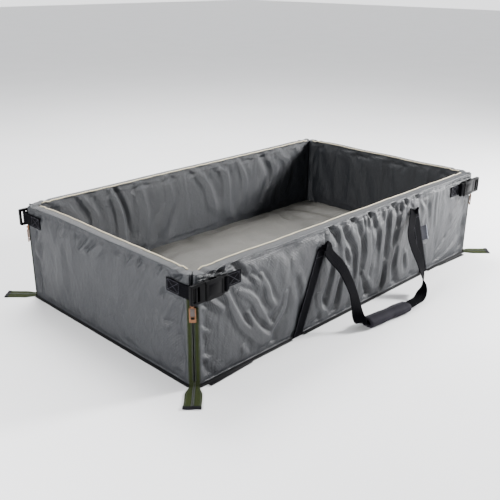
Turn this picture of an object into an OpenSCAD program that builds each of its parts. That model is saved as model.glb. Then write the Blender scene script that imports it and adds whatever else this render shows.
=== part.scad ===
// A padded fishing cradle: a foam base and four padded walls that zip and buckle together at the
// corners, with a carrying handle on each long side. Units are millimetres. +X runs along the
// length, the front long wall faces -Y, +Z is up, and the origin is on the ground under the middle.

/* [Base] */
// Length over the end walls
base_l = 1100; // [900:10:1400]
// Width over the long walls
base_w = 640; // [520:10:800]
// Thickness of the black underside panel
underside_t = 2.4; // [2:0.2:4]
// Width of the underside's edge that shows around the walls
edge_w = 5; // [3:1:10]
// Thickness of the foam in the base
base_foam_t = 38; // [20:1:60]

/* [Walls] */
// Height of the rim above the ground
rim_h = 250; // [200:5:360]
// Thickness of a padded wall
wall_t = 30; // [24:1:45]
// Thickness of the cover fabric with its lining
cover_t = 1.2; // [0.8:0.1:2]
// Radius of the boxed rim's long edges
rim_r = 7; // [3:1:11]

/* [Corner zips] */
// Width of the bevel that a closed zip spans at each corner
zip_w = 24; // [22:1:32]
// Thickness of the zip tape
tape_t = 0.9; // [0.6:0.1:1.4]
// Height of the zip's teeth above the back of the tape
teeth_h = 2.6; // [2:0.1:4]
// Length of the slider
slider_l = 24; // [18:1:32]
// Length of the slider's pull, from its pivot
pull_l = 40; // [30:1:55]
// Width of the pull
pull_w = 14; // [8:1:16]
// Length of the zip's loose tail on the ground
tail_l = 74; // [50:1:100]

/* [Corner buckles] */
// Width of the webbing of the straps and handles
webbing_w = 30; // [24:1:40]
// Thickness of the webbing
webbing_t = 1.8; // [1.2:0.1:2.6]
// Distance from the rim down to the middle of the buckles
buckle_drop = 36; // [32:1:60]
// Length of the buckle's socket, from its mouth to the end of its bar
socket_l = 62; // [56:1:75]
// Thickness of the buckle's socket
socket_t = 11; // [10:0.5:14]
// Width of the wall's stretch between a corner and the socket's mouth
mouth_in = 26; // [22:1:40]
// Length of the sewn tab that holds the socket
tab_l = 42; // [30:1:60]
// Length of the corner strap along the end wall
corner_strap_l = 76; // [60:1:110]

/* [Handles] */
// Shift of both handles along the length from the middle
handle_x = 40; // [-60:5:60]
// Distance between the tops of a handle's two sewn legs
leg_top_span = 388; // [350:2:460]
// Distance between the bottoms of a handle's two sewn legs
leg_foot_span = 544; // [480:2:640]
// Distance from the rim down to the top of the sewn legs
leg_drop = 47; // [40:1:80]
// How far the grip lies out from the wall
handle_reach = 80; // [60:1:120]
// Length of the padded grip
grip_l = 150; // [110:1:170]
// Width of the padded grip
grip_w = 36; // [36:1:50]
// Thickness of the padded grip
grip_t = 24; // [20:1:34]
// How far the fabric tag stands out from the right leg's edge
tag_w = 26; // [15:1:40]
// Height of the fabric tag
tag_h = 46; // [30:1:60]
// Distance from the top of the right leg down to the top of the tag
tag_drop = 54; // [20:1:80]

/* [Hidden] */
$fn = 48;
// Rims and walls. The mitre gap is the play between two neighbouring walls.
fold_gap = 0.4;
wall_z = underside_t + fold_gap;
base_gap = 0.5;
base_top = underside_t + base_foam_t + cover_t;
mitre_gap = 0.3;
bevel = zip_w / sqrt(2);
// Buckles
buckle_z = rim_h - buckle_drop;
socket_h = webbing_w + 12;
socket_z0 = buckle_z - socket_h / 2;
socket_y = 1;
shell_t = 2;
shell_l = socket_l - 14;
bar_w = 5;
ladder_l = 36;
stem_l = 38;
prong_l = 34;
prong_h = 5;
prong_t = 4;
prong_out = socket_h / 2 - 5;
latch_gap = 0.3;
slot_w = 6;
// Zips. Places across a zip are measured from its middle, and depths from the tape's back.
teeth_in = 0.8;
teeth_out = 3;
zip_z = 12;
channel_w = 6.4;
channel_d = 2.2;
plate_t = 1.4;
plate_w = 5.4;
plate_gap = 0.25;
front_plate_y = teeth_h + 0.4;
slider_top = buckle_z - webbing_w / 2 + 7;
slider_z = slider_top - slider_l;
pivot_r = 1;
pivot_y = front_plate_y + plate_t + 2.3;
pivot_z = socket_z0 - 3;
pull_t = 1.6;
tail_z = 1.6;
tail_w = 36;
tail_end_l = 9;
// Handles
leg_top = rim_h - leg_drop;
leg_run = (leg_foot_span - leg_top_span) / 2;
leg_rise = leg_top - wall_z;
leg_half_w = webbing_w / 2 * norm([leg_run, leg_rise]) / leg_rise;
strap_gap = 1.4;
grip_z = grip_t / 2 + 0.4;
hinge_out = webbing_t + strap_gap;

fabric = "#5c5e5e";
black = "#17171a";
olive = "#4a5138";
copper = "#8a6a55";
plastic = "#101013";

// Places. Each corner is the front left one, mirrored.
module front_or_rear(rear) { mirror([0, rear, 0]) children(); }
module left_or_right(right) { mirror([right, 0, 0]) children(); }
module corner(right, rear) { mirror([right, 0, 0]) mirror([0, rear, 0]) children(); }

// The zip's own axes at the front left corner: x across the zip, towards the front wall, and -y out.
module zip_place() {
    translate([-base_l / 2 + bevel / 2, -base_w / 2 + bevel / 2, 0]) rotate([0, 0, -45]) children();
}

// The buckle's own axes: x from the mouth along the front wall, -y out from the wall.
module buckle_place() { translate([-base_l / 2 + mouth_in, -base_w / 2, buckle_z]) children(); }

// A wall's end in plan, from the corner: across the zip by x and inward by d.
function end_point(x, d) = [bevel / 2 + (x + d) / sqrt(2), bevel / 2 + (d - x) / sqrt(2)];
function wall_end() = [
    [bevel, 0], end_point(channel_w, 0), end_point(channel_w, channel_d),
    end_point(mitre_gap / 2, channel_d), [wall_t + mitre_gap / sqrt(2), wall_t]
];

module wall_plan(l) {
    end = wall_end();
    polygon(concat(
        [for (p = end) [-l / 2 + p.x, p.y]],
        [for (i = [len(end) - 1 : -1 : 0]) [l / 2 - end[i].x, end[i].y]]
    ));
}

// The wall's cross-section, taken in by inset, with two round edges at the rim.
module wall_section(inset, below) {
    r = rim_r - inset / 2;
    t = wall_t - inset;
    top = rim_h - inset;
    translate([inset, wall_z - below]) square([t - inset, top - r - wall_z + below]);
    translate([inset + r, wall_z - below]) square([t - inset - 2 * r, top - wall_z + below]);
    translate([inset + r, top - r]) circle(r);
    translate([t - r, top - r]) circle(r);
}

module wall_body(l) {
    intersection() {
        translate([0, 0, wall_z]) linear_extrude(rim_h - wall_z) wall_plan(l);
        wall_core(l, 0, 0);
    }
}

module wall_core(l, inset, below) {
    translate([-l / 2 - 1, 0, 0]) rotate([90, 0, 90]) linear_extrude(l + 2) wall_section(inset, below);
}

module wall_cover(l) {
    difference() {
        wall_body(l);
        wall_core(l, cover_t, 1);
    }
}

module wall_foam(l) {
    intersection() {
        wall_body(l);
        wall_core(l, cover_t, 0);
    }
}

module long_wall_place() { translate([0, -base_w / 2, 0]) children(); }
module end_wall_place() { translate([-base_l / 2, 0, 0]) rotate([0, 0, -90]) children(); }

// Base
module leg_foot_notch() {
    for (s = [-1, 1])
        translate([handle_x + s * leg_foot_span / 2 - webbing_w / 2 - 6, base_w / 2, -1])
            cube([webbing_w + 12, edge_w + 1, underside_t + 2]);
}

module under_strap_cut(grow, h) {
    for (s = [-1, 1])
        translate([handle_x + s * leg_foot_span / 2 - webbing_w / 2 - grow, -base_w, -1])
            cube([webbing_w + 2 * grow, 2 * base_w, h + 1]);
}

module base_underside() {
    color(black) difference() {
        translate([-base_l / 2 - edge_w, -base_w / 2 - edge_w, 0])
            cube([base_l + 2 * edge_w, base_w + 2 * edge_w, underside_t]);
        under_strap_cut(0.3, webbing_t - 0.2);
        for (rear = [0, 1]) front_or_rear(rear) leg_foot_notch();
        for (rear = [0, 1], right = [0, 1])
            corner(right, rear) zip_place() translate([-60, -60 - 4, -1]) cube([120, 60, underside_t + 2]);
    }
}

module base_pad(inset, z0, z1) {
    l = base_l - 2 * (wall_t + base_gap + inset);
    w = base_w - 2 * (wall_t + base_gap + inset);
    translate([-l / 2, -w / 2, z0]) cube([l, w, z1 - z0]);
}

module base_foam() { color("#c9c4a8") base_pad(cover_t, underside_t, base_top - cover_t); }

module base_cover() {
    color(fabric) difference() {
        base_pad(0, underside_t, base_top);
        base_pad(cover_t, underside_t - 1, base_top - cover_t);
    }
}

// A black reinforcing patch whose edge shows outside the wall beside each corner.
module corner_patches() {
    patch_in = 34;
    patch_l = 128;
    color(black)
        for (rear = [0, 1], right = [0, 1])
            corner(right, rear)
                translate([-base_l / 2 + patch_in, -base_w / 2 - edge_w, 0])
                    linear_extrude(underside_t) polygon([[0, 0], [patch_l, 0], [patch_l, -3], [0, -10]]);
}

module zip_tails() {
    color(olive)
        for (rear = [0, 1], right = [0, 1])
            corner(right, rear) zip_place()
                linear_extrude(tail_z) polygon([
                    [-zip_w / 2, -4.3], [zip_w / 2, -4.3], [tail_w / 2, -28], [tail_w / 2, -tail_l],
                    [-tail_w / 2, -tail_l], [-tail_w / 2, -28]
                ]);
}

module zip_tail_ends() {
    color(black)
        for (rear = [0, 1], right = [0, 1])
            corner(right, rear) zip_place()
                translate([-tail_w / 2 - 1, -tail_l - tail_end_l, 0]) cube([tail_w + 2, tail_end_l, 3]);
}

module under_straps() {
    color(black)
        for (s = [-1, 1])
            translate([handle_x + s * leg_foot_span / 2 - webbing_w / 2, -base_w / 2, 0])
                cube([webbing_w, base_w, webbing_t - 0.2]);
}

// Walls
module wall_front_cover() { color(fabric) long_wall_place() wall_cover(base_l); }
module wall_front_foam() { color("#c9c4a8") long_wall_place() wall_foam(base_l); }
module wall_rear_cover() { color(fabric) front_or_rear(1) long_wall_place() wall_cover(base_l); }
module wall_rear_foam() { color("#c9c4a8") front_or_rear(1) long_wall_place() wall_foam(base_l); }
module wall_left_cover() { color(fabric) end_wall_place() wall_cover(base_w); }
module wall_left_foam() { color("#c9c4a8") end_wall_place() wall_foam(base_w); }
module wall_right_cover() { color(fabric) left_or_right(1) end_wall_place() wall_cover(base_w); }
module wall_right_foam() { color("#c9c4a8") left_or_right(1) end_wall_place() wall_foam(base_w); }

// Zips: the half with side 1 is sewn to the long wall, and the half with side -1 to the end wall.
module zip_half(side, top) {
    zip_place() mirror([side < 0 ? 1 : 0, 0, 0]) {
        translate([teeth_out - 1, -tape_t, zip_z]) cube([zip_w / 2 - teeth_out + 1, tape_t, top - zip_z]);
        translate([teeth_in, -teeth_h, zip_z]) cube([teeth_out - teeth_in, teeth_h, top - zip_z]);
    }
}

module zip_tapes_long(rear) {
    for (right = [0, 1]) corner(right, rear) zip_half(1, slider_z - 2);
}

module zip_tapes_end(right) {
    for (rear = [0, 1]) corner(right, rear) zip_half(-1, buckle_z - webbing_w / 2 - latch_gap);
}

module zip_tapes_front() { color(olive) zip_tapes_long(0); }
module zip_tapes_rear() { color(olive) zip_tapes_long(1); }
module zip_tapes_left() { color(olive) zip_tapes_end(0); }
module zip_tapes_right() { color(olive) zip_tapes_end(1); }

// The slider runs on the end wall's half, and its front plate reaches over the other half's teeth.
module slider() {
    ear_t = 1.2;
    ear_gap = 2.9;
    color(copper) zip_place() {
        translate([-plate_w, -front_plate_y - plate_t, slider_z]) cube([2 * plate_w - 0.4, plate_t, slider_l]);
        translate([-plate_w, plate_gap, slider_z]) cube([plate_w + 0.5, plate_t, slider_l]);
        translate([-0.5, -front_plate_y - 0.5, slider_top - 7]) cube([1, front_plate_y + 1, 6]);
        translate([-plate_w, -front_plate_y, slider_z]) cube([1.6, front_plate_y - tape_t - 0.3, slider_l]);
        for (s = [-1, 1])
            translate([s * (ear_gap + ear_t / 2) - ear_t / 2, -pivot_y - 2, pivot_z - 2])
                cube([ear_t, pivot_y + 2 - front_plate_y, 4]);
        translate([-ear_gap - ear_t, -pivot_y, pivot_z]) rotate([0, 90, 0])
            cylinder(r = pivot_r, h = 2 * (ear_gap + ear_t));
    }
}

// The pull hangs from the slider's pivot: a narrow neck with an eye, then a wide stamped plate.
module pull() {
    neck_w = 5;
    neck_l = 8;
    color(copper) zip_place() translate([0, -pivot_y, pivot_z]) difference() {
        union() {
            translate([-neck_w / 2, 0, 0]) rotate([0, 90, 0]) cylinder(r = 2, h = neck_w);
            translate([-neck_w / 2, -pull_t / 2, -neck_l - 1]) cube([neck_w, pull_t, neck_l + 1]);
            translate([-pull_w / 2, -pull_t / 2, -pull_l + 2]) cube([pull_w, pull_t, pull_l - 2 - neck_l]);
            translate([-pull_w / 2 + 2, -pull_t / 2, -pull_l]) cube([pull_w - 4, pull_t, 3]);
            for (s = [-1, 1])
                translate([s * (pull_w / 2 - 2), pull_t / 2, -pull_l + 2]) rotate([90, 0, 0])
                    cylinder(r = 2, h = pull_t);
        }
        translate([-neck_w / 2 - 1, 0, 0]) rotate([0, 90, 0]) cylinder(r = pivot_r + 0.1, h = neck_w + 2);
        translate([-pull_w / 2 + 3, -pull_t, -pull_l + 7]) cube([pull_w - 6, 2 * pull_t, 5]);
    }
}

// Buckles
module socket() {
    color(plastic) buckle_place() difference() {
        union() {
            translate([2, -socket_y - socket_t, -socket_h / 2]) cube([shell_l - 4, socket_t, socket_h]);
            translate([0, -socket_y - socket_t + 1, -socket_h / 2 + 2]) cube([shell_l, socket_t - 2, socket_h - 4]);
            for (s = [-1, 1])
                translate([2, -socket_y, s * (socket_h / 2 - 2)]) rotate([90, 0, 0]) cylinder(r = 2, h = socket_t);
            translate([shell_l - 3, -socket_y - socket_t + 2, -socket_h / 2 + 2])
                cube([socket_l - shell_l + 3, socket_t - 4, socket_h - 4]);
        }
        translate([-1, -socket_y - socket_t + shell_t, -prong_out - 1])
            cube([shell_l - 3, socket_t - 2 * shell_t, 2 * prong_out + 2]);
        for (s = [-1, 1])
            translate([13, -socket_y - socket_t + shell_t, s > 0 ? prong_out : -prong_out - 10])
                cube([18, socket_t - 2 * shell_t, 10]);
        translate([socket_l - bar_w - slot_w, -socket_y - socket_t, -webbing_w / 2 - 0.5])
            cube([slot_w, socket_t, webbing_w + 1]);
    }
}

module plug() {
    mid_y = socket_y + socket_t / 2;
    color(plastic) buckle_place() difference() {
        union() {
            translate([-ladder_l + 3, -mid_y - 4, -socket_h / 2]) cube([ladder_l - 3 - latch_gap, 8, socket_h]);
            translate([-ladder_l, -mid_y - 4, -socket_h / 2 + 3]) cube([4, 8, socket_h - 6]);
            for (s = [-1, 1])
                translate([-ladder_l + 3, -mid_y + 4, s * (socket_h / 2 - 3)]) rotate([90, 0, 0])
                    cylinder(r = 3, h = 8);
            translate([-1, -mid_y - 1.6, -5]) cube([stem_l, 3.2, 10]);
        }
        for (u = [-ladder_l + bar_w, -ladder_l + 2 * bar_w + slot_w])
            translate([u, -mid_y - 5, -webbing_w / 2 - 0.5]) cube([slot_w, 10, webbing_w + 1]);
    }
}

// A release button is the springy side arm of the plug, which shows in the socket's side window.
module button(up) {
    mid_y = socket_y + socket_t / 2;
    color(plastic) buckle_place() mirror([0, 0, up ? 0 : 1]) {
        translate([0, -mid_y - prong_t / 2, prong_out - prong_h]) cube([prong_l, prong_t, prong_h - 1]);
        translate([14, -mid_y - prong_t / 2, prong_out - 2]) cube([15, prong_t, 2]);
    }
}

// The corner strap is sewn to the end wall and reaches round to the plug's ladder bars.
module corner_strap() {
    color(black)
        translate([-base_l / 2 - webbing_t, -base_w / 2 + latch_gap, buckle_z - webbing_w / 2])
            cube([webbing_t, corner_strap_l, webbing_w]);
}

// A tab sewn to the long wall, with the loop of webbing that goes round the socket's bar.
module webbing_tab() {
    bar_gap = 0.3;
    loop_in = socket_l - bar_w - slot_w / 2;
    loop_out = socket_l + bar_gap + webbing_t;
    loop_d = socket_y + socket_t - 2 + bar_gap;
    difference() {
        translate([loop_in - webbing_t / 2, -loop_d - webbing_t, -webbing_w / 2])
            cube([loop_out - loop_in + webbing_t / 2, loop_d + webbing_t, webbing_w]);
        translate([loop_in + webbing_t / 2, -loop_d, -webbing_w])
            cube([loop_out - loop_in - 1.5 * webbing_t, loop_d - webbing_t, 2 * webbing_w]);
    }
    translate([loop_out - 1, -webbing_t, -webbing_w / 2]) cube([tab_l + 1, webbing_t, webbing_w]);
}

module buckle_tabs(rear) { color(black) for (right = [0, 1]) corner(right, rear) buckle_place() webbing_tab(); }

module buckle_tabs_front() { buckle_tabs(0); }
module buckle_tabs_rear() { buckle_tabs(1); }

module strap_fl() { corner(0, 0) corner_strap(); }
module strap_fr() { corner(1, 0) corner_strap(); }
module strap_rl() { corner(0, 1) corner_strap(); }
module strap_rr() { corner(1, 1) corner_strap(); }
module socket_fl() { corner(0, 0) socket(); }
module socket_fr() { corner(1, 0) socket(); }
module socket_rl() { corner(0, 1) socket(); }
module socket_rr() { corner(1, 1) socket(); }
module plug_fl() { corner(0, 0) plug(); }
module plug_fr() { corner(1, 0) plug(); }
module plug_rl() { corner(0, 1) plug(); }
module plug_rr() { corner(1, 1) plug(); }
module button_fl_upper() { corner(0, 0) button(true); }
module button_fl_lower() { corner(0, 0) button(false); }
module button_fr_upper() { corner(1, 0) button(true); }
module button_fr_lower() { corner(1, 0) button(false); }
module button_rl_upper() { corner(0, 1) button(true); }
module button_rl_lower() { corner(0, 1) button(false); }
module button_rr_upper() { corner(1, 1) button(true); }
module button_rr_lower() { corner(1, 1) button(false); }
module slider_fl() { corner(0, 0) slider(); }
module slider_fr() { corner(1, 0) slider(); }
module slider_rl() { corner(0, 1) slider(); }
module slider_rr() { corner(1, 1) slider(); }
module pull_fl() { corner(0, 0) pull(); }
module pull_fr() { corner(1, 0) pull(); }
module pull_rl() { corner(0, 1) pull(); }
module pull_rr() { corner(1, 1) pull(); }

// Handles: each sewn leg slants inward from the foot of the wall to the place where the loop leaves.
module handle_legs() {
    color(black)
        for (s = [-1, 1])
            translate([handle_x, -base_w / 2, 0]) rotate([90, 0, 0])
                linear_extrude(webbing_t) polygon([
                    for (p = [[leg_foot_span, -1, wall_z], [leg_foot_span, 1, wall_z],
                              [leg_top_span, 1, leg_top], [leg_top_span, -1, leg_top]])
                        [s * p[0] / 2 + p[1] * leg_half_w, p[2]]
                ]);
}

module handle_legs_front() { handle_legs(); }
module handle_legs_rear() { front_or_rear(1) handle_legs(); }

// The tag is sewn in beside the right leg and leans with it.
module tag() {
    lean = leg_run / leg_rise;
    edge = leg_top_span / 2 + leg_half_w + tag_drop * lean;
    tag_t = 1.2;
    color("#2b2b31")
        translate([handle_x + edge, -base_w / 2, leg_top - tag_drop]) rotate([90, 0, 0])
            linear_extrude(tag_t)
                polygon([[0, 0], [tag_w, 0], [tag_w + tag_h * lean, -tag_h], [tag_h * lean, -tag_h]]);
}

// The loop's route: places along the length, shares of the way up from grip to hinge, extra reach,
// and the direction that the webbing's width lies along. The ends of the grip come from its length.
loop_left = [
    [-180, 1, 0, [1, 0, 0]], [-177, 0.93, 0, [1, 0, 0]], [-168, 0.86, 0, [1, 0, 0.3]],
    [-150, 0.735, 0, [1, 0, 0.3]], [-138, 0.55, 0, [1, 0, 0.1]], [-133, 0.365, 0, [1, 0, 0]],
    [-136, 0.22, 0, [1, -0.2, 0]], [-138, 0.1, 0, [0.8, -0.7, 0]], [-132, 0.02, 0, [0.4, -1, 0]]
];
loop_right = [
    [58, 0, 18, [0, -1, 0]], [90, 0, 16, [-0.2, -1, 0]], [120, 0.035, 8, [-0.5, -1, 0]],
    [142, 0.11, 2, [-0.8, -0.6, 0.1]], [153, 0.22, 0, [-1, -0.3, 0]], [156, 0.38, 0, [-1, 0, 0]],
    [148, 0.575, 0, [-1, 0, 0]], [149, 0.745, 0, [-1, 0, 0]], [162, 0.86, 0, [-1, 0, 0.3]],
    [173, 0.93, 0, [-1, 0, 0]], [176, 1, 0, [-1, 0, 0]]
];
grip_x = -40;
grip_stations = [
    [grip_x - grip_l / 2 - 3, 0, 1, [0, -1, 0]], [grip_x - grip_l / 2 + 4, 0, 2, [0, -1, 0]],
    [grip_x + grip_l / 2 - 12, 0, 18, [0, -1, 0]]
];

function unit(v) = v / norm(v);
function loop_point(s) = [
    handle_x + s[0],
    -base_w / 2 - hinge_out - handle_reach * (1 - s[1]) - s[2],
    grip_z + (leg_top - 4 - grip_z) * s[1]
];

// A ribbon along stations: four corners a station, joined side by side and capped at both ends.
// Its two broad faces are split along the same diagonal, so they stay apart where it twists.
module ribbon(stations, w, t) {
    n = len(stations);
    p = [for (s = stations) loop_point(s)];
    along = [for (i = [0 : n - 1]) unit(p[min(i + 1, n - 1)] - p[max(i - 1, 0)])];
    across = [for (i = [0 : n - 1])
        let (a = stations[i][3], flat = a - (a * along[i]) * along[i])
        unit(i == 0 || i == n - 1 ? a : flat)];
    face = [for (i = [0 : n - 1]) unit(cross(along[i], across[i]))];
    points = [for (i = [0 : n - 1], c = [[-1, -1], [1, -1], [1, 1], [-1, 1]])
        p[i] + across[i] * c[0] * w / 2 + face[i] * c[1] * t / 2];
    sides = [for (i = [0 : n - 2], k = [0 : 3], half = [0, 1])
        let (a = 4 * i + k, b = 4 * i + (k + 1) % 4)
        k == 2 ? (half == 0 ? [a, b, a + 4] : [b, b + 4, a + 4])
            : (half == 0 ? [a, b, b + 4] : [a, b + 4, a + 4])];
    last = 4 * (n - 1);
    polyhedron(points, concat(sides, [[0, 3, 2, 1], [last, last + 1, last + 2, last + 3]]));
}

module handle_webbing() { color(black) ribbon(concat(loop_left, grip_stations, loop_right), webbing_w, webbing_t); }

module grip() {
    ends = [loop_point(grip_stations[1]), loop_point(grip_stations[2])];
    mid = (ends[0] + ends[1]) / 2;
    turn = atan2(ends[1].y - ends[0].y, ends[1].x - ends[0].x);
    color("#26262b") translate(mid) rotate([0, 0, turn]) rotate([90, 0, 90])
        translate([0, 0, -grip_l / 2]) linear_extrude(grip_l) difference() {
            union() {
                square([grip_w - grip_t, grip_t], center = true);
                for (s = [-1, 1]) translate([s * (grip_w - grip_t) / 2, 0]) circle(grip_t / 2);
            }
            square([webbing_w + 1.6, webbing_t + 1.2], center = true);
        }
}

module handle_front_webbing() { handle_webbing(); }
module handle_front_grip() { grip(); }
module handle_rear_webbing() { front_or_rear(1) handle_webbing(); }
module handle_rear_grip() { front_or_rear(1) grip(); }

base_underside();
base_foam();
base_cover();
corner_patches();
zip_tails();
zip_tail_ends();
under_straps();
wall_front_cover();
wall_front_foam();
wall_rear_cover();
wall_rear_foam();
wall_left_cover();
wall_left_foam();
wall_right_cover();
wall_right_foam();
zip_tapes_front();
zip_tapes_rear();
zip_tapes_left();
zip_tapes_right();
buckle_tabs_front();
buckle_tabs_rear();
strap_fl();
strap_fr();
strap_rl();
strap_rr();
socket_fl();
socket_fr();
socket_rl();
socket_rr();
plug_fl();
plug_fr();
plug_rl();
plug_rr();
button_fl_upper();
button_fl_lower();
button_fr_upper();
button_fr_lower();
button_rl_upper();
button_rl_lower();
button_rr_upper();
button_rr_lower();
slider_fl();
slider_fr();
slider_rl();
slider_rr();
pull_fl();
pull_fr();
pull_rl();
pull_rr();
handle_legs_front();
handle_legs_rear();
tag();
handle_front_webbing();
handle_front_grip();
handle_rear_webbing();
handle_rear_grip();
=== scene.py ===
"""The looks of a padded fishing cradle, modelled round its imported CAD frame."""
import math
import random

import bpy
import numpy as np
from mathutils import Matrix, Vector
from mathutils.bvhtree import BVHTree


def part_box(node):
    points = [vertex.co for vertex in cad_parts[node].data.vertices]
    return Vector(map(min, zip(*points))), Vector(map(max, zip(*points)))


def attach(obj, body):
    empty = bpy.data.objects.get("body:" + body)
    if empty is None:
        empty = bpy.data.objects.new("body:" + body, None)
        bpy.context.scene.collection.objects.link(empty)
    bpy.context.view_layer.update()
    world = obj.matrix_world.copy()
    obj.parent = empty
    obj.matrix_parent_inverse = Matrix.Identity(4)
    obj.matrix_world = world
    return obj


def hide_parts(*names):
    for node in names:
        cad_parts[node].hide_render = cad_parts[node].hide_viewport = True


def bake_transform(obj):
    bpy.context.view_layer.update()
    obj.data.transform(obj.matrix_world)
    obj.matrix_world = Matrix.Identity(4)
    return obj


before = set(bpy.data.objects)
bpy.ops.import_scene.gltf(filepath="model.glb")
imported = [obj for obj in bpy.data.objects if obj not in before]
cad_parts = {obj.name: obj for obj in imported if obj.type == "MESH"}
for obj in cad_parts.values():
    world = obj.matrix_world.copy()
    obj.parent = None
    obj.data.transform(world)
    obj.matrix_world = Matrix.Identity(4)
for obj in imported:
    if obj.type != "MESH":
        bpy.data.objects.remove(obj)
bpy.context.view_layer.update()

bl_info = {
    "name": "Fishing Cradle",
    "version": (1, 0, 0),
    "blender": (4, 5, 0),
    "location": "View3D > Sidebar > Cradle",
    "description": "Models the padded walls, base, zips, buckles and handles of a fishing cradle",
    "category": "Object",
}

# Lengths below are in millimetres until a mesh is made from them.
MM = 0.001
FRONT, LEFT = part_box("wall_front_cover"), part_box("wall_left_cover")
HALF_L, HALF_W = -LEFT[0].x / MM, -FRONT[0].y / MM
WALL_T = (FRONT[1].y - FRONT[0].y) / MM
WALL_Z, RIM_Z = FRONT[0].z / MM, FRONT[1].z / MM
RIM_R = 7
BEVEL = 24 / math.sqrt(2)
BUCKLE_Z = (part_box("socket_fl")[0].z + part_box("socket_fl")[1].z) / 2 / MM
BUCKLE_IN = 26
WEBBING_W, WEBBING_T = 30, 1.8
HANDLE_X, LEG_TOP, LEG_FOOT = 40, 194, 272
LEG_TOP_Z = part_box("handle_legs_front")[1].z / MM
HINGE_OUT, HANDLE_REACH, GRIP_Z = 3.2, 80, 12.4
# How far a pull's face stands in front of its zip.
PULL_FACE = 7.5

# Each wall's turn from the front one, half its length, how far out it stands, and which way it counts.
WALLS = {
    "front": (0, HALF_L, HALF_W, 1),
    "right": (90, HALF_W, HALF_L, 1),
    "rear": (180, HALF_L, HALF_W, -1),
    "left": (-90, HALF_W, HALF_L, -1),
}
CORNERS = {"fl": (1, 1), "fr": (-1, 1), "rl": (1, -1), "rr": (-1, -1)}

# Pulled and sewn folds: points (along the wall, height), width, and height of the ridge or valley.
FRONT_FOLDS = [
    ([(-458, 184), (-438, 140), (-416, 101), (-381, 63), (-332, 26)], 9, 5.0),
    ([(-420, 178), (-381, 148), (-355, 104), (-337, 88)], 8, 4.5),
    ([(-395, 117), (-373, 79), (-329, 33)], 8, 4.0),
    ([(-356, 195), (-337, 159), (-326, 127), (-311, 103)], 7, 4.0),
    ([(-385, 201), (-352, 168)], 6, 3.0),
    ([(-276, 128), (-284, 92), (-310, 66), (-325, 42)], 7, 3.4),
    ([(-348, 97), (-325, 58)], 6, 3.4),
    ([(-499, 181), (-462, 148)], 7, 3.4),
    ([(-438, 241), (-396, 207), (-382, 192)], 8, -5.0),
    ([(-403, 229), (-389, 199)], 5, 3.2),
    ([(-409, 40), (-402, 7)], 10, 1.8),
    ([(-239, 150), (-226, 90), (-236, 30)], 11, -2.4),
    ([(-162, 83), (-136, 24), (-114, 2)], 9, 3.2),
    ([(-521, 176), (-512, 163)], 5, 2.4),
    ([(-527, 132), (-505, 107)], 6, 2.4),
    ([(-524, 65), (-504, 48)], 6, 2.2),
    ([(-505, 236), (-470, 228), (-452, 238)], 5, 3.2),
    ([(-530, 232), (-505, 240)], 4, -3.4),
    ([(-546, 229), (-534, 246)], 4, -5.0),
    ([(-522, 233), (-506, 246)], 4, 4.0),
    ([(-494, 231), (-470, 242)], 4, -5.0),
    ([(-462, 231), (-436, 239)], 4, 4.4),
    ([(-452, 238), (-420, 247)], 5, -4.4),
    ([(-126, 251), (-99, 213)], 7, -5.5),
    ([(-50, 254), (-27, 231)], 6, -5.0),
    ([(24, 251), (42, 226)], 6, -5.0),
    ([(121, 256), (147, 224)], 7, -5.5),
    ([(185, 244), (198, 227)], 6, -4.6),
    ([(238, 248), (255, 228)], 6, -4.6),
    ([(-83, 237), (-32, 168), (-20, 87)], 10, -4.4),
    ([(-22, 230), (8, 165), (3, 95)], 9, -4.0),
    ([(48, 220), (73, 174), (62, 115)], 9, -3.6),
    ([(115, 223), (116, 175), (111, 94)], 9, -4.2),
    ([(172, 222), (154, 173), (135, 125)], 12, -4.8),
    ([(-66, 177), (-43, 122)], 7, -3.4),
    ([(-109, 140), (-130, 77), (-150, 35)], 10, -3.6),
    ([(-76, 103), (-86, 50), (-97, 18)], 8, -3.8),
    ([(15, 77), (39, 26), (51, 8)], 9, -4.4),
    ([(111, 79), (105, 29), (93, 3)], 9, -4.0),
    ([(161, 118), (155, 52), (168, 10)], 10, -3.6),
    ([(200, 85), (207, 37)], 8, -3.0),
    ([(30, 190), (36, 120), (20, 60)], 8, 3.0),
    ([(90, 200), (92, 130), (80, 60)], 8, 2.8),
    ([(-10, 140), (-14, 70), (-30, 20)], 8, 2.8),
    ([(272, 215), (293, 179)], 8, 2.4),
    ([(373, 39), (469, 109), (500, 144)], 9, 2.4),
    ([(366, 9), (433, 23), (517, 64)], 9, 2.4),
    ([(476, 186), (453, 150)], 8, -2.6),
    ([(523, 176), (509, 96)], 11, 2.0),
    ([(420, 90), (470, 160)], 10, 1.8),
]
LEFT_FOLDS = [
    ([(239, 214), (285, 127), (308, 37)], 11, 2.4),
    ([(300, 214), (270, 120), (262, 60)], 10, 1.8),
    ([(108, 223), (121, 125)], 14, 1.8),
    ([(-75, 218), (-63, 119)], 12, 1.8),
    ([(-204, 134), (-199, 48)], 9, 2.0),
    ([(-12, 223), (26, 160)], 12, 1.6),
    ([(-258, 179), (-215, 110)], 10, 2.2),
    ([(-181, 212), (-135, 141), (-100, 65)], 12, 1.8),
    ([(-235, 198), (-225, 176)], 5, -3.0),
    ([(-296, 190), (-288, 130), (-300, 60)], 9, 2.6),
    ([(-247, 120), (-232, 112)], 7, 2.6),
    ([(-288, 244), (-262, 226)], 6, -3.6),
    ([(-225, 246), (-205, 222)], 6, -3.0),
    ([(160, 180), (172, 70)], 16, 1.4),
    ([(76, 200), (45, 234)], 6, -3.6),
    ([(44, 203), (5, 236)], 6, -3.6),
    ([(14, 198), (-30, 234)], 6, 3.2),
    ([(150, 212), (126, 238)], 6, 3.0),
    ([(-112, 222), (-124, 240)], 5, -3.2),
    ([(-146, 220), (-158, 240)], 5, -3.2),
]
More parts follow.
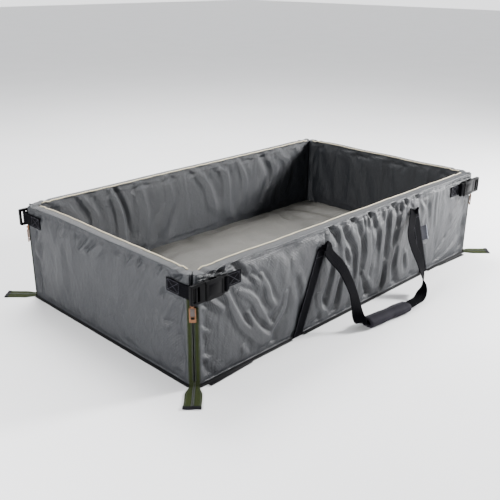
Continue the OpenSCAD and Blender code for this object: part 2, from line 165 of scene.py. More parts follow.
REAR_INNER_FOLDS = [
    ([(-322, 267), (-288, 175), (-277, 72)], 12, 5.0),
    ([(-300, 250), (-268, 165), (-262, 60)], 9, -4.0),
    ([(-227, 271), (-204, 146), (-215, 56)], 15, 3.6),
    ([(-122, 260), (-109, 162), (-145, 86)], 14, 3.6),
    ([(-22, 250), (31, 191), (71, 93)], 13, 3.8),
    ([(57, 255), (111, 205), (112, 73)], 13, 3.8),
    ([(167, 245), (196, 178), (183, 57)], 12, 3.8),
    ([(269, 248), (315, 165), (270, 69)], 15, -4.8),
    ([(345, 245), (409, 180), (378, 77)], 14, 4.0),
    ([(-490, 255), (-431, 199), (-410, 159)], 11, 3.6),
    ([(-421, 266), (-369, 184), (-369, 123)], 11, 3.6),
    ([(441, 240), (507, 195)], 11, 3.6),
    ([(-460, 120), (-410, 60)], 12, 2.6),
    ([(330, 120), (300, 60)], 12, -3.0),
]

# The handle's loop: along, share of the way up, extra reach, and the way that its width lies.
LOOP = [
    (-180, 1, 0, (1, 0, 0)), (-177, 0.93, 0, (1, 0, 0)), (-168, 0.86, 0, (1, 0, 0.3)),
    (-150, 0.735, 0, (1, 0, 0.3)), (-138, 0.55, 0, (1, 0, 0.1)), (-133, 0.365, 0, (1, 0, 0)),
    (-136, 0.22, 0, (1, -0.2, 0)), (-138, 0.1, 0, (0.8, -0.7, 0)), (-132, 0.02, 0, (0.4, -1, 0)),
    (-118, 0, 1, (0, -1, 0)), (-111, 0, 2, (0, -1, 0)), (23, 0, 18, (0, -1, 0)),
    (58, 0, 18, (0, -1, 0)), (90, 0, 16, (-0.2, -1, 0)), (120, 0.035, 8, (-0.5, -1, 0)),
    (142, 0.11, 2, (-0.8, -0.6, 0.1)), (153, 0.22, 0, (-1, -0.3, 0)), (156, 0.38, 0, (-1, 0, 0)),
    (148, 0.575, 0, (-1, 0, 0)), (149, 0.745, 0, (-1, 0, 0)), (162, 0.86, 0, (-1, 0, 0.3)),
    (173, 0.93, 0, (-1, 0, 0)), (176, 1, 0, (-1, 0, 0)),
]
GRIP_ENDS, GRIP_L = (10, 11), 150


# ---- Small helpers -------------------------------------------------------------------------------
def linear(hex_colour):
    """An sRGB hex colour as the linear red, green, blue and alpha that a shader takes."""
    parts = [int(hex_colour[i:i + 2], 16) / 255 for i in (1, 3, 5)]
    return [c / 12.92 if c <= 0.04045 else ((c + 0.055) / 1.055) ** 2.4 for c in parts] + [1]


def add_node(tree, kind, inputs=None, **settings):
    """Add a shader node. Each input is a number or colour, or another node's output to link to it."""
    made = tree.nodes.new(kind)
    for key, value in settings.items():
        setattr(made, key, value)
    for key, value in (inputs or {}).items():
        if isinstance(value, bpy.types.NodeSocket):
            tree.links.new(value, made.inputs[key])
        else:
            made.inputs[key].default_value = value
    return made


def smooth_step(low, high, x):
    """0 below low, 1 above high, and an even curve between them."""
    t = np.clip((x - low) / (high - low), 0, 1)
    return t * t * (3 - 2 * t)


def clear():
    """Leave edit mode and deselect everything, so that an operator acts on new work only."""
    if bpy.context.object and bpy.context.object.mode != "OBJECT":
        bpy.ops.object.mode_set(mode="OBJECT")
    bpy.ops.object.select_all(action="DESELECT")


def only(piece):
    """Select one piece and make it the active one."""
    clear()
    piece.select_set(True)
    bpy.context.view_layer.objects.active = piece


def apply_modifier(piece, kind, **settings):
    """Add a modifier with these settings and apply it."""
    only(piece)
    made = piece.modifiers.new(kind.lower(), kind)
    for key, value in settings.items():
        setattr(made, key, value)
    bpy.ops.object.modifier_apply(modifier=made.name)


def mesh_piece(name, points, faces):
    """A new piece from points in millimetres and faces."""
    mesh = bpy.data.meshes.new(name)
    mesh.from_pydata((np.asarray(points, float) * MM).tolist(), [], [list(f) for f in faces])
    mesh.update()
    piece = bpy.data.objects.new(name, mesh)
    bpy.context.scene.collection.objects.link(piece)
    return piece


def points_of(piece):
    """A piece's vertices, in millimetres."""
    co = np.empty(len(piece.data.vertices) * 3)
    piece.data.vertices.foreach_get("co", co)
    return co.reshape(-1, 3) / MM


def normals_of(piece):
    """A piece's vertex normals."""
    normal = np.empty(len(piece.data.vertices) * 3, np.float32)
    piece.data.vertices.foreach_get("normal", normal)
    return normal.reshape(-1, 3).astype(float)


def place_points(piece, points):
    """Move a piece's vertices to these points, in millimetres."""
    piece.data.vertices.foreach_set("co", (points * MM).astype(np.float32).ravel())
    piece.data.update()


def smooth(piece, degrees=None):
    """Shade a piece smooth, with its sharp edges kept where an angle is given."""
    only(piece)
    if degrees is None:
        bpy.ops.object.shade_smooth()
    else:
        bpy.ops.object.shade_smooth_by_angle(angle=math.radians(degrees))
    return piece


def finish_piece(piece, finish, body, slot, *nodes):
    """Give a finished piece its material and body, and hide the CAD nodes that it stands for. Its slot is not
    used.
    """
    piece.data.materials.clear()
    piece.data.materials.append(MATERIALS[finish])
    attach(piece, body)
    if nodes:
        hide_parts(*nodes)


def cad_copy(node, name, bevel, segments=2):
    """A copy of a rigid CAD node with its edges eased, as a moulded or cast part has."""
    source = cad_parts[node]
    piece = bpy.data.objects.new(name, source.data.copy())
    bpy.context.scene.collection.objects.link(piece)
    only(piece)
    bpy.ops.object.mode_set(mode="EDIT")
    bpy.ops.mesh.select_all(action="SELECT")
    bpy.ops.mesh.remove_doubles(threshold=2e-6)
    bpy.ops.mesh.dissolve_limited(angle_limit=math.radians(1))
    bpy.ops.object.mode_set(mode="OBJECT")
    apply_modifier(piece, "BEVEL", width=bevel * MM, segments=segments, angle_limit=math.radians(40))
    return smooth(piece, 35)


def rounded_box(name, low, high, bevel, segments=2):
    """A cube added at its size and place, with its edges bevelled."""
    clear()
    low, high = np.array(low, float) * MM, np.array(high, float) * MM
    bpy.ops.mesh.primitive_cube_add(size=1, location=(low + high) / 2, scale=high - low)
    piece = bpy.context.object
    piece.name = name
    bpy.ops.object.transform_apply(location=True, rotation=True, scale=True)
    bpy.ops.object.mode_set(mode="EDIT")
    bpy.ops.mesh.select_all(action="SELECT")
    bpy.ops.mesh.bevel(offset=bevel * MM, segments=segments, affect="EDGES")
    bpy.ops.object.mode_set(mode="OBJECT")
    return smooth(piece, 35)


def join(first, *others):
    """Join pieces into the first one."""
    clear()
    for piece in (first, *others):
        piece.select_set(True)
    bpy.context.view_layer.objects.active = first
    bpy.ops.object.join()
    return first


def spline(points, step):
    """A smooth line through points, sampled about every step millimetres.

    Each point's slope weighs its two sides by their lengths, so uneven spacing doesn't overshoot."""
    p = np.asarray(points, float)
    far = np.linalg.norm(np.diff(p[:, :3], axis=0), axis=1)
    slope = np.diff(p, axis=0) / far[:, None]
    inner = (slope[:-1] * far[1:, None] + slope[1:] * far[:-1, None]) / (far[1:] + far[:-1])[:, None]
    slope = np.vstack([slope[:1], inner, slope[-1:]])
    line = []
    for a, b, m, n, length in zip(p[:-1], p[1:], slope[:-1], slope[1:], far):
        count = max(1, int(round(length / step)))
        t = np.arange(count)[:, None] / count
        line.append((2 * t ** 3 - 3 * t ** 2 + 1) * a + (t ** 3 - 2 * t ** 2 + t) * length * m
                    + (3 * t ** 2 - 2 * t ** 3) * b + (t ** 3 - t ** 2) * length * n)
    return np.vstack(line + [p[-1:]])


def unit(v):
    """Rows of vectors at unit length."""
    v = np.asarray(v, float)
    return v / np.maximum(np.linalg.norm(v, axis=-1, keepdims=True), 1e-9)


def ribbon(name, path, across, width, thickness, cells=6, edge=0.35):
    """Flat webbing along a path: a grid laid on it, thickened both ways, with soft edges.

    across is the way that the width lies, as one vector or one at each point, and width may change
    along the path."""
    path = np.asarray(path, float)
    across = np.broadcast_to(unit(across), path.shape)
    n = len(path)
    width = np.broadcast_to(np.asarray(width, float), n)
    clear()
    bpy.ops.mesh.primitive_grid_add(x_subdivisions=n - 1, y_subdivisions=cells, size=1)
    piece = bpy.context.object
    piece.name = name
    grid = points_of(piece) * MM
    i = np.rint((grid[:, 0] + 0.5) * (n - 1)).astype(int)
    share = np.rint((grid[:, 1] + 0.5) * cells) / cells
    place_points(piece, path[i] + across[i] * ((share - 0.5) * width[i])[:, None])
    run = np.r_[0, np.cumsum(np.linalg.norm(np.diff(path, axis=0), axis=1))]
    corner = np.array([loop.vertex_index for loop in piece.data.loops])
    uv = np.stack([run[i], (share - 0.5) * width[i]], 1)[corner] * MM
    piece.data.uv_layers[0].data.foreach_set("uv", uv.astype(np.float32).ravel())
    apply_modifier(piece, "SOLIDIFY", thickness=thickness * MM, offset=0, use_even_offset=True)
    apply_modifier(piece, "BEVEL", width=edge * MM, segments=2, angle_limit=math.radians(60))
    return smooth(piece, 50)


# The small unit shapes that scatter repeats.
SHAPES = {}


def scatter(name, kind, frames):
    """Copies of a small unit shape in one mesh, one at each (place, x, y and z axis with its scale)."""
    points, faces = kind
    frames = np.asarray(frames, float)
    made = np.einsum("nij,vi->nvj", frames[:, 1:], points) + frames[:, :1]
    flip = np.linalg.det(frames[:, 1:]) < 0
    every = []
    for n, turned in enumerate(flip):
        every += [[n * len(points) + v for v in (f[::-1] if turned else f)] for f in faces]
    return mesh_piece(name, made.reshape(-1, 3), every)


def unit_shape(top, bevel=0.0):
    """The points and faces of a one millimetre block whose top is drawn in: a stitch or a zip tooth."""
    clear()
    bpy.ops.mesh.primitive_cube_add(size=1)
    piece = bpy.context.object
    bpy.ops.object.mode_set(mode="EDIT")
    bpy.ops.mesh.select_all(action="DESELECT")
    bpy.ops.mesh.select_mode(type="FACE")
    bpy.ops.object.mode_set(mode="OBJECT")
    for face in piece.data.polygons:
        face.select = face.normal.z > 0.9
    bpy.ops.object.mode_set(mode="EDIT")
    bpy.ops.transform.resize(value=(0.8, top, 1))
    if bevel:
        bpy.ops.mesh.select_all(action="SELECT")
        bpy.ops.mesh.bevel(offset=bevel, segments=1, affect="EDGES")
    bpy.ops.object.mode_set(mode="OBJECT")
    shape = points_of(piece) * MM, [tuple(f.vertices) for f in piece.data.polygons]
    bpy.data.objects.remove(piece)
    return shape


def stitches(name, rows, length=2.6, gap=1.2, width=0.7, height=0.5):
    """Sewn rows: short raised stitches along each row's points, on its one normal or one for each point."""
    frames = []
    for points, normals in rows:
        points = np.asarray(points, float)
        normals = np.broadcast_to(np.asarray(normals, float), points.shape)
        run = np.r_[0, np.cumsum(np.linalg.norm(np.diff(points, axis=0), axis=1))]
        for at in np.arange(length / 2 + 0.3, run[-1] - length / 2, length + gap):
            a, b = ([np.interp(at + o, run, points[:, k]) for k in range(3)] for o in (-0.5, 0.5))
            along = unit(np.subtract(b, a))
            up = np.array([np.interp(at, run, normals[:, k]) for k in range(3)])
            up = unit(up - along * (up @ along))
            frames.append([np.add(a, b) / 2 + up * height * 0.3, along * length,
                           np.cross(up, along) * width, up * height])
    return scatter(name, SHAPES["stitch"], frames)


def turn(points, wall):
    """Points of a wall in the front one's place, turned to the wall's own."""
    c, s = {0: (1, 0), 90: (0, 1), 180: (-1, 0), -90: (0, -1)}[WALLS[wall][0]]
    points = np.asarray(points, float)
    return np.stack([points[..., 0] * c - points[..., 1] * s,
                     points[..., 0] * s + points[..., 1] * c, points[..., 2]], -1)


def zip_point(corner, points):
    """Points on a corner's zip: across towards the long wall, inward from the tape, and up."""
    right, rear = CORNERS[corner]
    p, h = np.asarray(points, float), math.sqrt(0.5)
    x = -HALF_L + BEVEL / 2 + (p[..., 0] + p[..., 1]) * h
    y = -HALF_W + BEVEL / 2 + (p[..., 1] - p[..., 0]) * h
    return np.stack([x * right, y * rear, p[..., 2]], -1)


def zip_way(corner, way):
    """A direction at a corner's zip, counted as zip_point counts its points."""
    return zip_point(corner, way) - zip_point(corner, (0, 0, 0))


def mirrored(corner):
    """Whether a corner's pieces are mirror images of the front left one's, and so need their faces turned."""
    return CORNERS[corner][0] * CORNERS[corner][1] < 0


def tube_faces(rings, sides):
    """The faces of a tube of rings of points, with both its ends closed."""
    faces = [(n * sides + m, n * sides + (m + 1) % sides,
              (n + 1) * sides + (m + 1) % sides, (n + 1) * sides + m)
             for n in range(rings - 1) for m in range(sides)]
    last = (rings - 1) * sides
    return faces + [tuple(range(sides))[::-1], tuple(last + m for m in range(sides))]


# ---- Padded pieces -------------------------------------------------------------------------------
def shell_grid(nx, nd, nz):
    """The points (as steps along, across and up) and outward faces of a closed gridded box."""
    index = -np.ones((nx + 1, nd + 1, nz + 1), int)
    i, j, k = np.meshgrid(range(nx + 1), range(nd + 1), range(nz + 1), indexing="ij")
    skin = (i == 0) | (i == nx) | (j == 0) | (j == nd) | (k == 0) | (k == nz)
    index[skin] = np.arange(skin.sum())
    faces = []
    for axis in range(3):
        for end in (0, -1):
            side = np.take(index, end, axis)
            quads = np.stack([side[:-1, :-1], side[1:, :-1], side[1:, 1:], side[:-1, 1:]], -1)
            quads = quads.reshape(-1, 4)
            faces.append(quads[:, ::-1] if (end == 0) != (axis == 1) else quads)
    return np.stack([i[skin], j[skin], k[skin]], 1), np.concatenate(faces)


def puff(piece, pinned, cap, pressure=2.0, slack=0.03, frames=16):
    """Blow a piece up as cloth with some slack, held at its seams, and keep what moved up to a cap."""
    rest = points_of(piece)
    group = piece.vertex_groups.new(name="seams")
    group.add([int(v) for v in np.nonzero(pinned)[0]], 1.0, "REPLACE")
    only(piece)
    cloth = piece.modifiers.new("cloth", "CLOTH")
    settings = cloth.settings
    settings.quality = 4
    settings.mass = 0.3
    settings.air_damping = 2
    settings.bending_stiffness = 0.3
    settings.tension_stiffness = settings.compression_stiffness = 12
    settings.shear_stiffness = 4
    settings.use_pressure = True
    settings.uniform_pressure_force = pressure
    settings.shrink_min = -slack
    settings.vertex_group_mass = "seams"
    settings.effector_weights.gravity = 0
    scene = bpy.context.scene
    for at in range(1, frames + 1):
        scene.frame_set(at)
    blown = piece.evaluated_get(bpy.context.evaluated_depsgraph_get())
    after = np.empty(len(rest) * 3)
    blown.data.vertices.foreach_get("co", after)
    moved = after.reshape(-1, 3) / MM - rest
    far = np.linalg.norm(moved, axis=1, keepdims=True)
    piece.modifiers.remove(cloth)
    scene.frame_set(1)
    # tanh keeps the small wrinkles and holds the big bulge under the cap
    place_points(piece, rest + moved / np.maximum(far, 1e-9) * cap * np.tanh(far / cap))
    piece.vertex_groups.clear()


def folds(u, z, creases):
    """The height over a wall's face of its folds, each with a shallower valley or ridge beside it."""
    height = np.zeros_like(u)
    for line, width, depth in creases:
        line = spline(np.asarray(line, float), 8)
        low, high = line.min(0) - 4 * width, line.max(0) + 4 * width
        near = np.nonzero((u > low[0]) & (u < high[0]) & (z > low[1]) & (z < high[1]))[0]
        if not len(near):
            continue
        p = np.stack([u[near], z[near]], 1)
        best, side, share = np.full(len(near), 1e9), np.zeros(len(near)), np.zeros(len(near))
        run = np.r_[0, np.cumsum(np.linalg.norm(np.diff(line, axis=0), axis=1))]
        for m, (a, b) in enumerate(zip(line[:-1], line[1:])):
            ab = b - a
            t = np.clip((p - a) @ ab / (ab @ ab), 0, 1)
            off = p - a - t[:, None] * ab
            dist = np.linalg.norm(off, axis=1)
            closer = dist < best
            best[closer] = dist[closer]
            side[closer] = np.sign(ab[0] * off[closer, 1] - ab[1] * off[closer, 0])
            share[closer] = (run[m] + t[closer] * (run[m + 1] - run[m])) / run[-1]
        fade = np.sqrt(np.sin(np.pi * (0.1 + 0.88 * share)).clip(0))
        wide = width * (0.75 + 0.6 * share)
        across = best * side / wide
        height[near] += depth * fade * (np.exp(-across ** 2) - 0.5 * np.exp(-(across - 1.7) ** 2)
                                        - 0.2 * np.exp(-(across + 1.8) ** 2))
    return height


def ripples(u, z, seed, long, deep):
    """Soft uneven waves over a face, mostly upright, from a few sums of sines."""
    rng = random.Random(seed)
    height = np.zeros_like(u)
    for _ in range(9):
        pitch = long * rng.uniform(0.45, 1.5)
        lean = rng.uniform(-0.5, 0.5)
        bend = rng.uniform(0.1, 0.35)
        phase, slow = rng.uniform(0, 7), rng.uniform(0, 7)
        wave = np.sin(2 * np.pi * (u + lean * z + bend * 40 * np.sin(z / 60 + slow)) / pitch + phase)
        height += wave * (0.6 + 0.4 * np.sin(u / 130 + slow)) * pitch / long
    return height * deep / 3.2


def gathers(seed, low, high, count, top, shortest, longest, deep, lean=0.15):
    """Pleats that hang from a sewn line, each with its own length, lean and width."""
    rng = random.Random(seed)
    made = []
    for n in range(count):
        u = low + (high - low) * (n + rng.uniform(0.15, 0.85)) / count
        drop = rng.uniform(shortest, longest)
        slide = drop * rng.uniform(-0.1, 1) * lean
        end = (u + slide + rng.uniform(-6, 6), top - drop)
        mid = ((u + end[0]) / 2 + rng.uniform(-4, 4), top - drop * 0.5)
        made.append(([(u, top), mid, end], rng.uniform(4.5, 8), deep * rng.uniform(0.5, 1)))
    return made


def held_down(u, z, regions):
    """1 where a strap, tab or seam holds the cloth down, falling to 0 a little way off."""
    held, soft = np.zeros_like(u), 9
    for (u0, z0), (u1, z1), half in regions:
        a, ab = np.array([u0, z0]), np.array([u1 - u0, z1 - z0], float)
        p = np.stack([u, z], 1) - a
        t = np.clip(p @ ab / max(ab @ ab, 1e-9), 0, 1)
        dist = np.linalg.norm(p - t[:, None] * ab, axis=1)
        held = np.maximum(held, 1 - smooth_step(half, half + soft, dist))
    return held


def sewn_down(wall):
    """What holds a wall's outer cloth down: straps, tabs and the tag."""
    regions = []
    if wall in ("front", "rear"):
        for s in (-1, 1):
            regions.append(((HANDLE_X + s * LEG_FOOT, WALL_Z), (HANDLE_X + s * LEG_TOP, LEG_TOP_Z + 4), 17))
            regions.append(((s * (HALF_L - 95), BUCKLE_Z), (s * (HALF_L - 148), BUCKLE_Z), 17))
            regions.append(((s * (HALF_L - 20), BUCKLE_Z), (s * (HALF_L - 85), BUCKLE_Z), 21))
        if wall == "front":
            regions.append(((HANDLE_X + 245, 140), (HANDLE_X + 262, 112), 15))
    else:
        for s in (-1, 1):
            regions.append(((s * (HALF_W - 5), BUCKLE_Z), (s * (HALF_W - 62), BUCKLE_Z), 17))
    return regions


def wall_folds(wall):
    """The folds of a wall's outer and inner cloth."""
    if wall == "front":
        outer = (FRONT_FOLDS + gathers(3, -150, 235, 22, 238, 22, 70, -2.6)
                 + gathers(5, 250, 520, 9, 236, 40, 120, 1.6))
        inner = gathers(11, -480, 480, 12, 236, 90, 190, 1.2)
    elif wall == "rear":
        # the folds that the front wall has beside its first buckle
        outer = (FRONT_FOLDS[:12] + gathers(23, -150, 235, 26, 238, 25, 150, -3.4)
                 + gathers(25, 260, 520, 10, 234, 60, 150, 2.0))
        inner = REAR_INNER_FOLDS + gathers(13, -500, 500, 10, 240, 60, 170, 0.9)
    elif wall == "left":
        outer = LEFT_FOLDS + gathers(31, -300, 300, 10, 240, 20, 50, -1.4)
        inner = gathers(33, -270, 270, 8, 238, 90, 190, 1.2)
    else:
        outer = [([(-u, z) for u, z in line], w, d) for line, w, d in LEFT_FOLDS[:11]]
        inner = gathers(41, -270, 270, 9, 240, 110, 200, 1.5, lean=0.1)
    return outer, inner


def rim_wave(u, half, seed):
    """How a rim rises and dips along its length: it drops into the gathers at its corners."""
    rng = random.Random(seed)
    wave = sum(rng.uniform(0.3, 0.8) * np.sin(u / rng.uniform(28, 90) + rng.uniform(0, 7)) for _ in range(5))
    near = smooth_step(half - 110, half - 25, np.abs(u))
    return wave * 0.8 - near * 1.6 + near * 1.5 * np.sin(u / 5.3 + seed) + near * 0.8 * np.sin(u / 3.1)


def soft_cap(height, limit, lift=0.0):
    """Height that eases up to a limit and never passes it."""
    ease = 1.2
    return np.minimum(limit - ease * np.log1p(np.exp((limit - height) / ease)) + lift, limit)


def wall_pad(wall, cell=6.2):
    """One padded wall: a foam-filled cover with a boxed rim, mitred ends, and gathers at its seams."""
    _, half, out, sign = WALLS[wall]
    deep = np.array([0, 5, 11, 19, 25, WALL_T])
    up = np.r_[np.linspace(WALL_Z, RIM_Z - 14, 39), RIM_Z - 9, RIM_Z - 4.5, RIM_Z]
    nx, nz = int(2 * half / cell), len(up) - 1
    ijk, faces = shell_grid(nx, len(deep) - 1, nz)
    i, j, k = ijk.T
    d, z = deep[j].copy(), up[k].copy()
    # the rim's two long edges are rounded: square corner to quarter circle
    for centre, way in ((RIM_R, -1), (WALL_T - RIM_R, 1)):
        off = np.stack([(d - centre) * way, z - (RIM_Z - RIM_R)], 1)
        corner = (off > 0).all(1)
        scale = off.max(1) / np.maximum(np.linalg.norm(off, axis=1), 1e-9)
        d[corner] = centre + way * (off[:, 0] * scale)[corner]
        z[corner] = RIM_Z - RIM_R + (off[:, 1] * scale)[corner]
    short = np.maximum(BEVEL - d + 0.4, d + 0.08)
    s = (2 * i / nx - 1) * (half - short)
    piece = mesh_piece("wall_pad_" + wall, np.stack([s, d, z], 1), faces)
    ends = (i < 2) | (i > nx - 2)
    puff(piece, ends | (k < 2) | (k > nz - 3), 3.5)
    apply_modifier(piece, "SUBSURF", levels=1, render_levels=1)
    points, normals = points_of(piece), normals_of(piece)
    s, d, z = points.T
    u, to_end = s * sign, half - np.abs(s)
    outward, inward = smooth_step(0.72, 0.92, -normals[:, 1]), smooth_step(0.72, 0.92, normals[:, 1])
    bevel_off, mitre_off = (smooth_step(low, low + 22, to_end) for low in (BEVEL, WALL_T))
    seed = {"front": 1, "left": 2, "rear": 3, "right": 4}[wall]
    outer_folds, inner_folds = wall_folds(wall)
    fade = bevel_off * smooth_step(WALL_Z, WALL_Z + 16, z)
    waves = ripples(u, z, seed, 75, 1.3 if wall == "left" else 1.8)
    outer = -3.2 * bevel_off + (1.7 * folds(u, z, outer_folds) + waves) * fade
    # fine creases between the big folds, which break up the sheen
    outer += ripples(u, z, seed + 20, 21, 0.55) * fade * (0.4 + 0.6 * np.sin(u / 43 + z / 37) ** 2)
    # the boxed band under the rim is sewn down, so the cloth dips along its seam
    band = RIM_Z - 12.5 + 0.8 * np.sin(u / 17 + seed)
    outer -= (2.0 if half > out else 0.9) * np.exp(-((z - band) / 2.4) ** 2)
    held = held_down(u, z, sewn_down(wall))
    # the foam stops short of the zips, so the cloth falls away towards them
    hollow = (1 - smooth_step(8, 105, to_end)) * smooth_step(WALL_Z, 50, z) * (1 - smooth_step(205, 240, z))
    outer -= 8.5 * hollow * bevel_off * (1 - held)
    top = 2.3 * (1 - held) * smooth_step(14, 34, z) * smooth_step(10, 40, to_end) - 0.25 * held
    outer = soft_cap(outer, top, 0.25)
    inner = -2.4 * mitre_off + ((1.2 if wall == "rear" else 0.8) * folds(u, z, inner_folds)
                                + ripples(u, z, seed + 9, 80, 1.5)) * fade
    room = 2.4 * smooth_step(44, 62, z) * smooth_step(WALL_T + 4, WALL_T + 40, to_end) + 0.1
    inner = soft_cap(inner, room)
    points[:, 1] += inner * inward - outer * outward
    points[:, 1] = np.clip(points[:, 1], -top, WALL_T + room)
    points[:, 2] += rim_wave(u, half, seed) * smooth_step(RIM_Z - 26, RIM_Z - 3, z)
    points[:, 2] = np.maximum(points[:, 2], WALL_Z)
    # nothing stands proud of the bevel that the zip is sewn to
    over = (BEVEL - (half - np.abs(points[:, 0])) - points[:, 1]).clip(0) / 2
    points[:, 0] -= np.sign(points[:, 0]) * over
    points[:, 1] += over
    flat = np.stack([points[:, 0], points[:, 1] - out, points[:, 2]], 1)
    place_points(piece, turn(flat, wall))
    cloth_uv(piece, points)
    return smooth(piece)


def cloth_uv(piece, points):
    """Lay the cloth's own grain on a pad: along and up on its faces, along and across on its rim."""
    count = len(piece.data.loops)
    vertex, owner = np.empty(count, int), np.empty(count, int)
    piece.data.loops.foreach_get("vertex_index", vertex)
    for polygon in piece.data.polygons:
        owner[polygon.loop_start:polygon.loop_start + polygon.loop_total] = polygon.index
    p = points[vertex].reshape(-1, 4, 3)
    normal = np.abs(np.cross(p[:, 2] - p[:, 0], p[:, 3] - p[:, 1]))
    way = normal.argmax(1)[owner]
    p = points[vertex]
    uv = np.where((way == 2)[:, None], p[:, :2], np.where((way == 1)[:, None], p[:, [0, 2]], p[:, 1:]))
    layer = piece.data.uv_layers.new(name="UVMap")
    layer.data.foreach_set("uv", (uv * MM).astype(np.float32).ravel())


def surface_at(tree, wall, s, d):
    """Where a wall's cloth is, and which way it faces, under a point above its rim."""
    start = turn([s, d - WALLS[wall][2], RIM_Z + 30], wall)
    hit, normal, _, _ = tree.ray_cast(Vector(start * MM), Vector((0, 0, -1)))
    if hit is None:
        raise RuntimeError(f"no cloth under {s}, {d} on the {wall} wall")
    return np.array(hit) / MM, np.array(normal)


def tree_of(piece):
    """A piece's faces, ready to be asked where a ray meets them."""
    return BVHTree.FromPolygons([v.co for v in piece.data.vertices],
                                [tuple(p.vertices) for p in piece.data.polygons])


# ---- Materials -----------------------------------------------------------------------------------
MATERIALS = {}


def new_material(name, colour, roughness, **sockets):
    """A material with one Principled shader, whose uniform values are on that shader's own sockets, and
    the Object and UV outputs that its patterns read."""
    made = bpy.data.materials.new(name)
    made.use_nodes = True
    tree = made.node_tree
    shader = tree.nodes["Principled BSDF"]
    shader.inputs["Base Color"].default_value = linear(colour)
    shader.inputs["Roughness"].default_value = roughness
    for key, value in sockets.items():
        shader.inputs[key.replace("_", " ")].default_value = value
    MATERIALS[name] = made
    return tree, shader, add_node(tree, "ShaderNodeTexCoord").outputs


def vary_colour(tree, shader, vector, low, high, scale, detail=4):
    """Colour that drifts between two shades over the surface, as dye lots and light wear do."""
    noise = add_node(tree, "ShaderNodeTexNoise", {"Vector": vector, "Scale": scale, "Detail": detail})
    mix = add_node(tree, "ShaderNodeMix", {0: noise.outputs["Fac"], 6: linear(low), 7: linear(high)},
                   data_type="RGBA")
    tree.links.new(mix.outputs[2], shader.inputs["Base Color"])
    return noise, mix


def vary_roughness(tree, shader, driver, low, high):
    """Roughness that follows a pattern between two values."""
    spread = add_node(tree, "ShaderNodeMapRange", {"Value": driver, "To Min": low, "To Max": high})
    tree.links.new(spread.outputs["Result"], shader.inputs["Roughness"])


def raise_surface(tree, shader, height, strength, distance):
    """Bump in millimetres, from a pattern."""
    bump = add_node(tree, "ShaderNodeBump",
                    {"Height": height, "Strength": strength, "Distance": distance * MM})
    tree.links.new(bump.outputs["Normal"], shader.inputs["Normal"])


def band_scale(width):
    """A wave texture's scale at which each light or dark band along an axis is this many millimetres wide."""
    return 1 / (width * MM) / 20 * math.pi


def plain_weave(tree, vector, thread):
    """Over-and-under threads of a width in millimetres: the crests of the two thread ways added."""
    waves = [add_node(tree, "ShaderNodeTexWave", {"Vector": vector, "Scale": band_scale(thread)},
                      wave_type="BANDS", bands_direction=way) for way in "XY"]
    return add_node(tree, "ShaderNodeMath", {0: waves[0].outputs["Fac"], 1: waves[1].outputs["Fac"]},
                    operation="ADD").outputs[0]


def coated_nylon(name, low, high, roughness):
    """420 denier nylon with a clear polyurethane coat: satin, with glints along every fold."""
    tree, shader, at = new_material(name, low, roughness, Specular_IOR_Level=0.5, IOR=1.5)
    vary_colour(tree, shader, at["Object"], low, high, 9)
    # threads are 0.4 mm apart, drawn 1.6 mm wide with gaps as wide, so that the weave shows in a render
    weave = plain_weave(tree, at["UV"], 1.6)
    crinkle = add_node(tree, "ShaderNodeTexNoise", {"Vector": at["Object"], "Scale": 85.0, "Detail": 5.0,
                                                    "Roughness": 0.6, "Distortion": 0.8})
    slub = add_node(tree, "ShaderNodeTexNoise", {"Vector": at["Object"], "Scale": 24.0, "Detail": 3.0})
    vary_roughness(tree, shader, slub.outputs["Fac"], roughness - 0.07, roughness + 0.09)
    both = add_node(tree, "ShaderNodeMath", {0: crinkle.outputs["Fac"], 1: 3.0, 2: weave},
                    operation="MULTIPLY_ADD")
    raise_surface(tree, shader, both.outputs[0], 0.85, 0.5)


def webbing_material(name, low, high):
    """Polypropylene webbing: flat ribs across, two raised selvedges, a slight plastic shine."""
    tree, shader, at = new_material(name, low, 0.75, Specular_IOR_Level=0.03)
    # ribs are drawn 1.5 mm wide along the webbing and warp threads 2.4 mm across it, with gaps as wide
    rib = add_node(tree, "ShaderNodeTexWave",
                   {"Vector": at["UV"], "Scale": band_scale(1.5), "Distortion": 0.6, "Detail": 1.0},
                   bands_direction="X")
    warp = add_node(tree, "ShaderNodeTexWave", {"Vector": at["UV"], "Scale": band_scale(2.4)},
                    bands_direction="Y")
    both = add_node(tree, "ShaderNodeMath", {0: rib.outputs["Fac"], 1: warp.outputs["Fac"]},
                    operation="MULTIPLY")
    vary_colour(tree, shader, at["Object"], low, high, 40)
    vary_roughness(tree, shader, both.outputs[0], 0.82, 0.6)
    raise_surface(tree, shader, both.outputs[0], 0.8, 0.5)


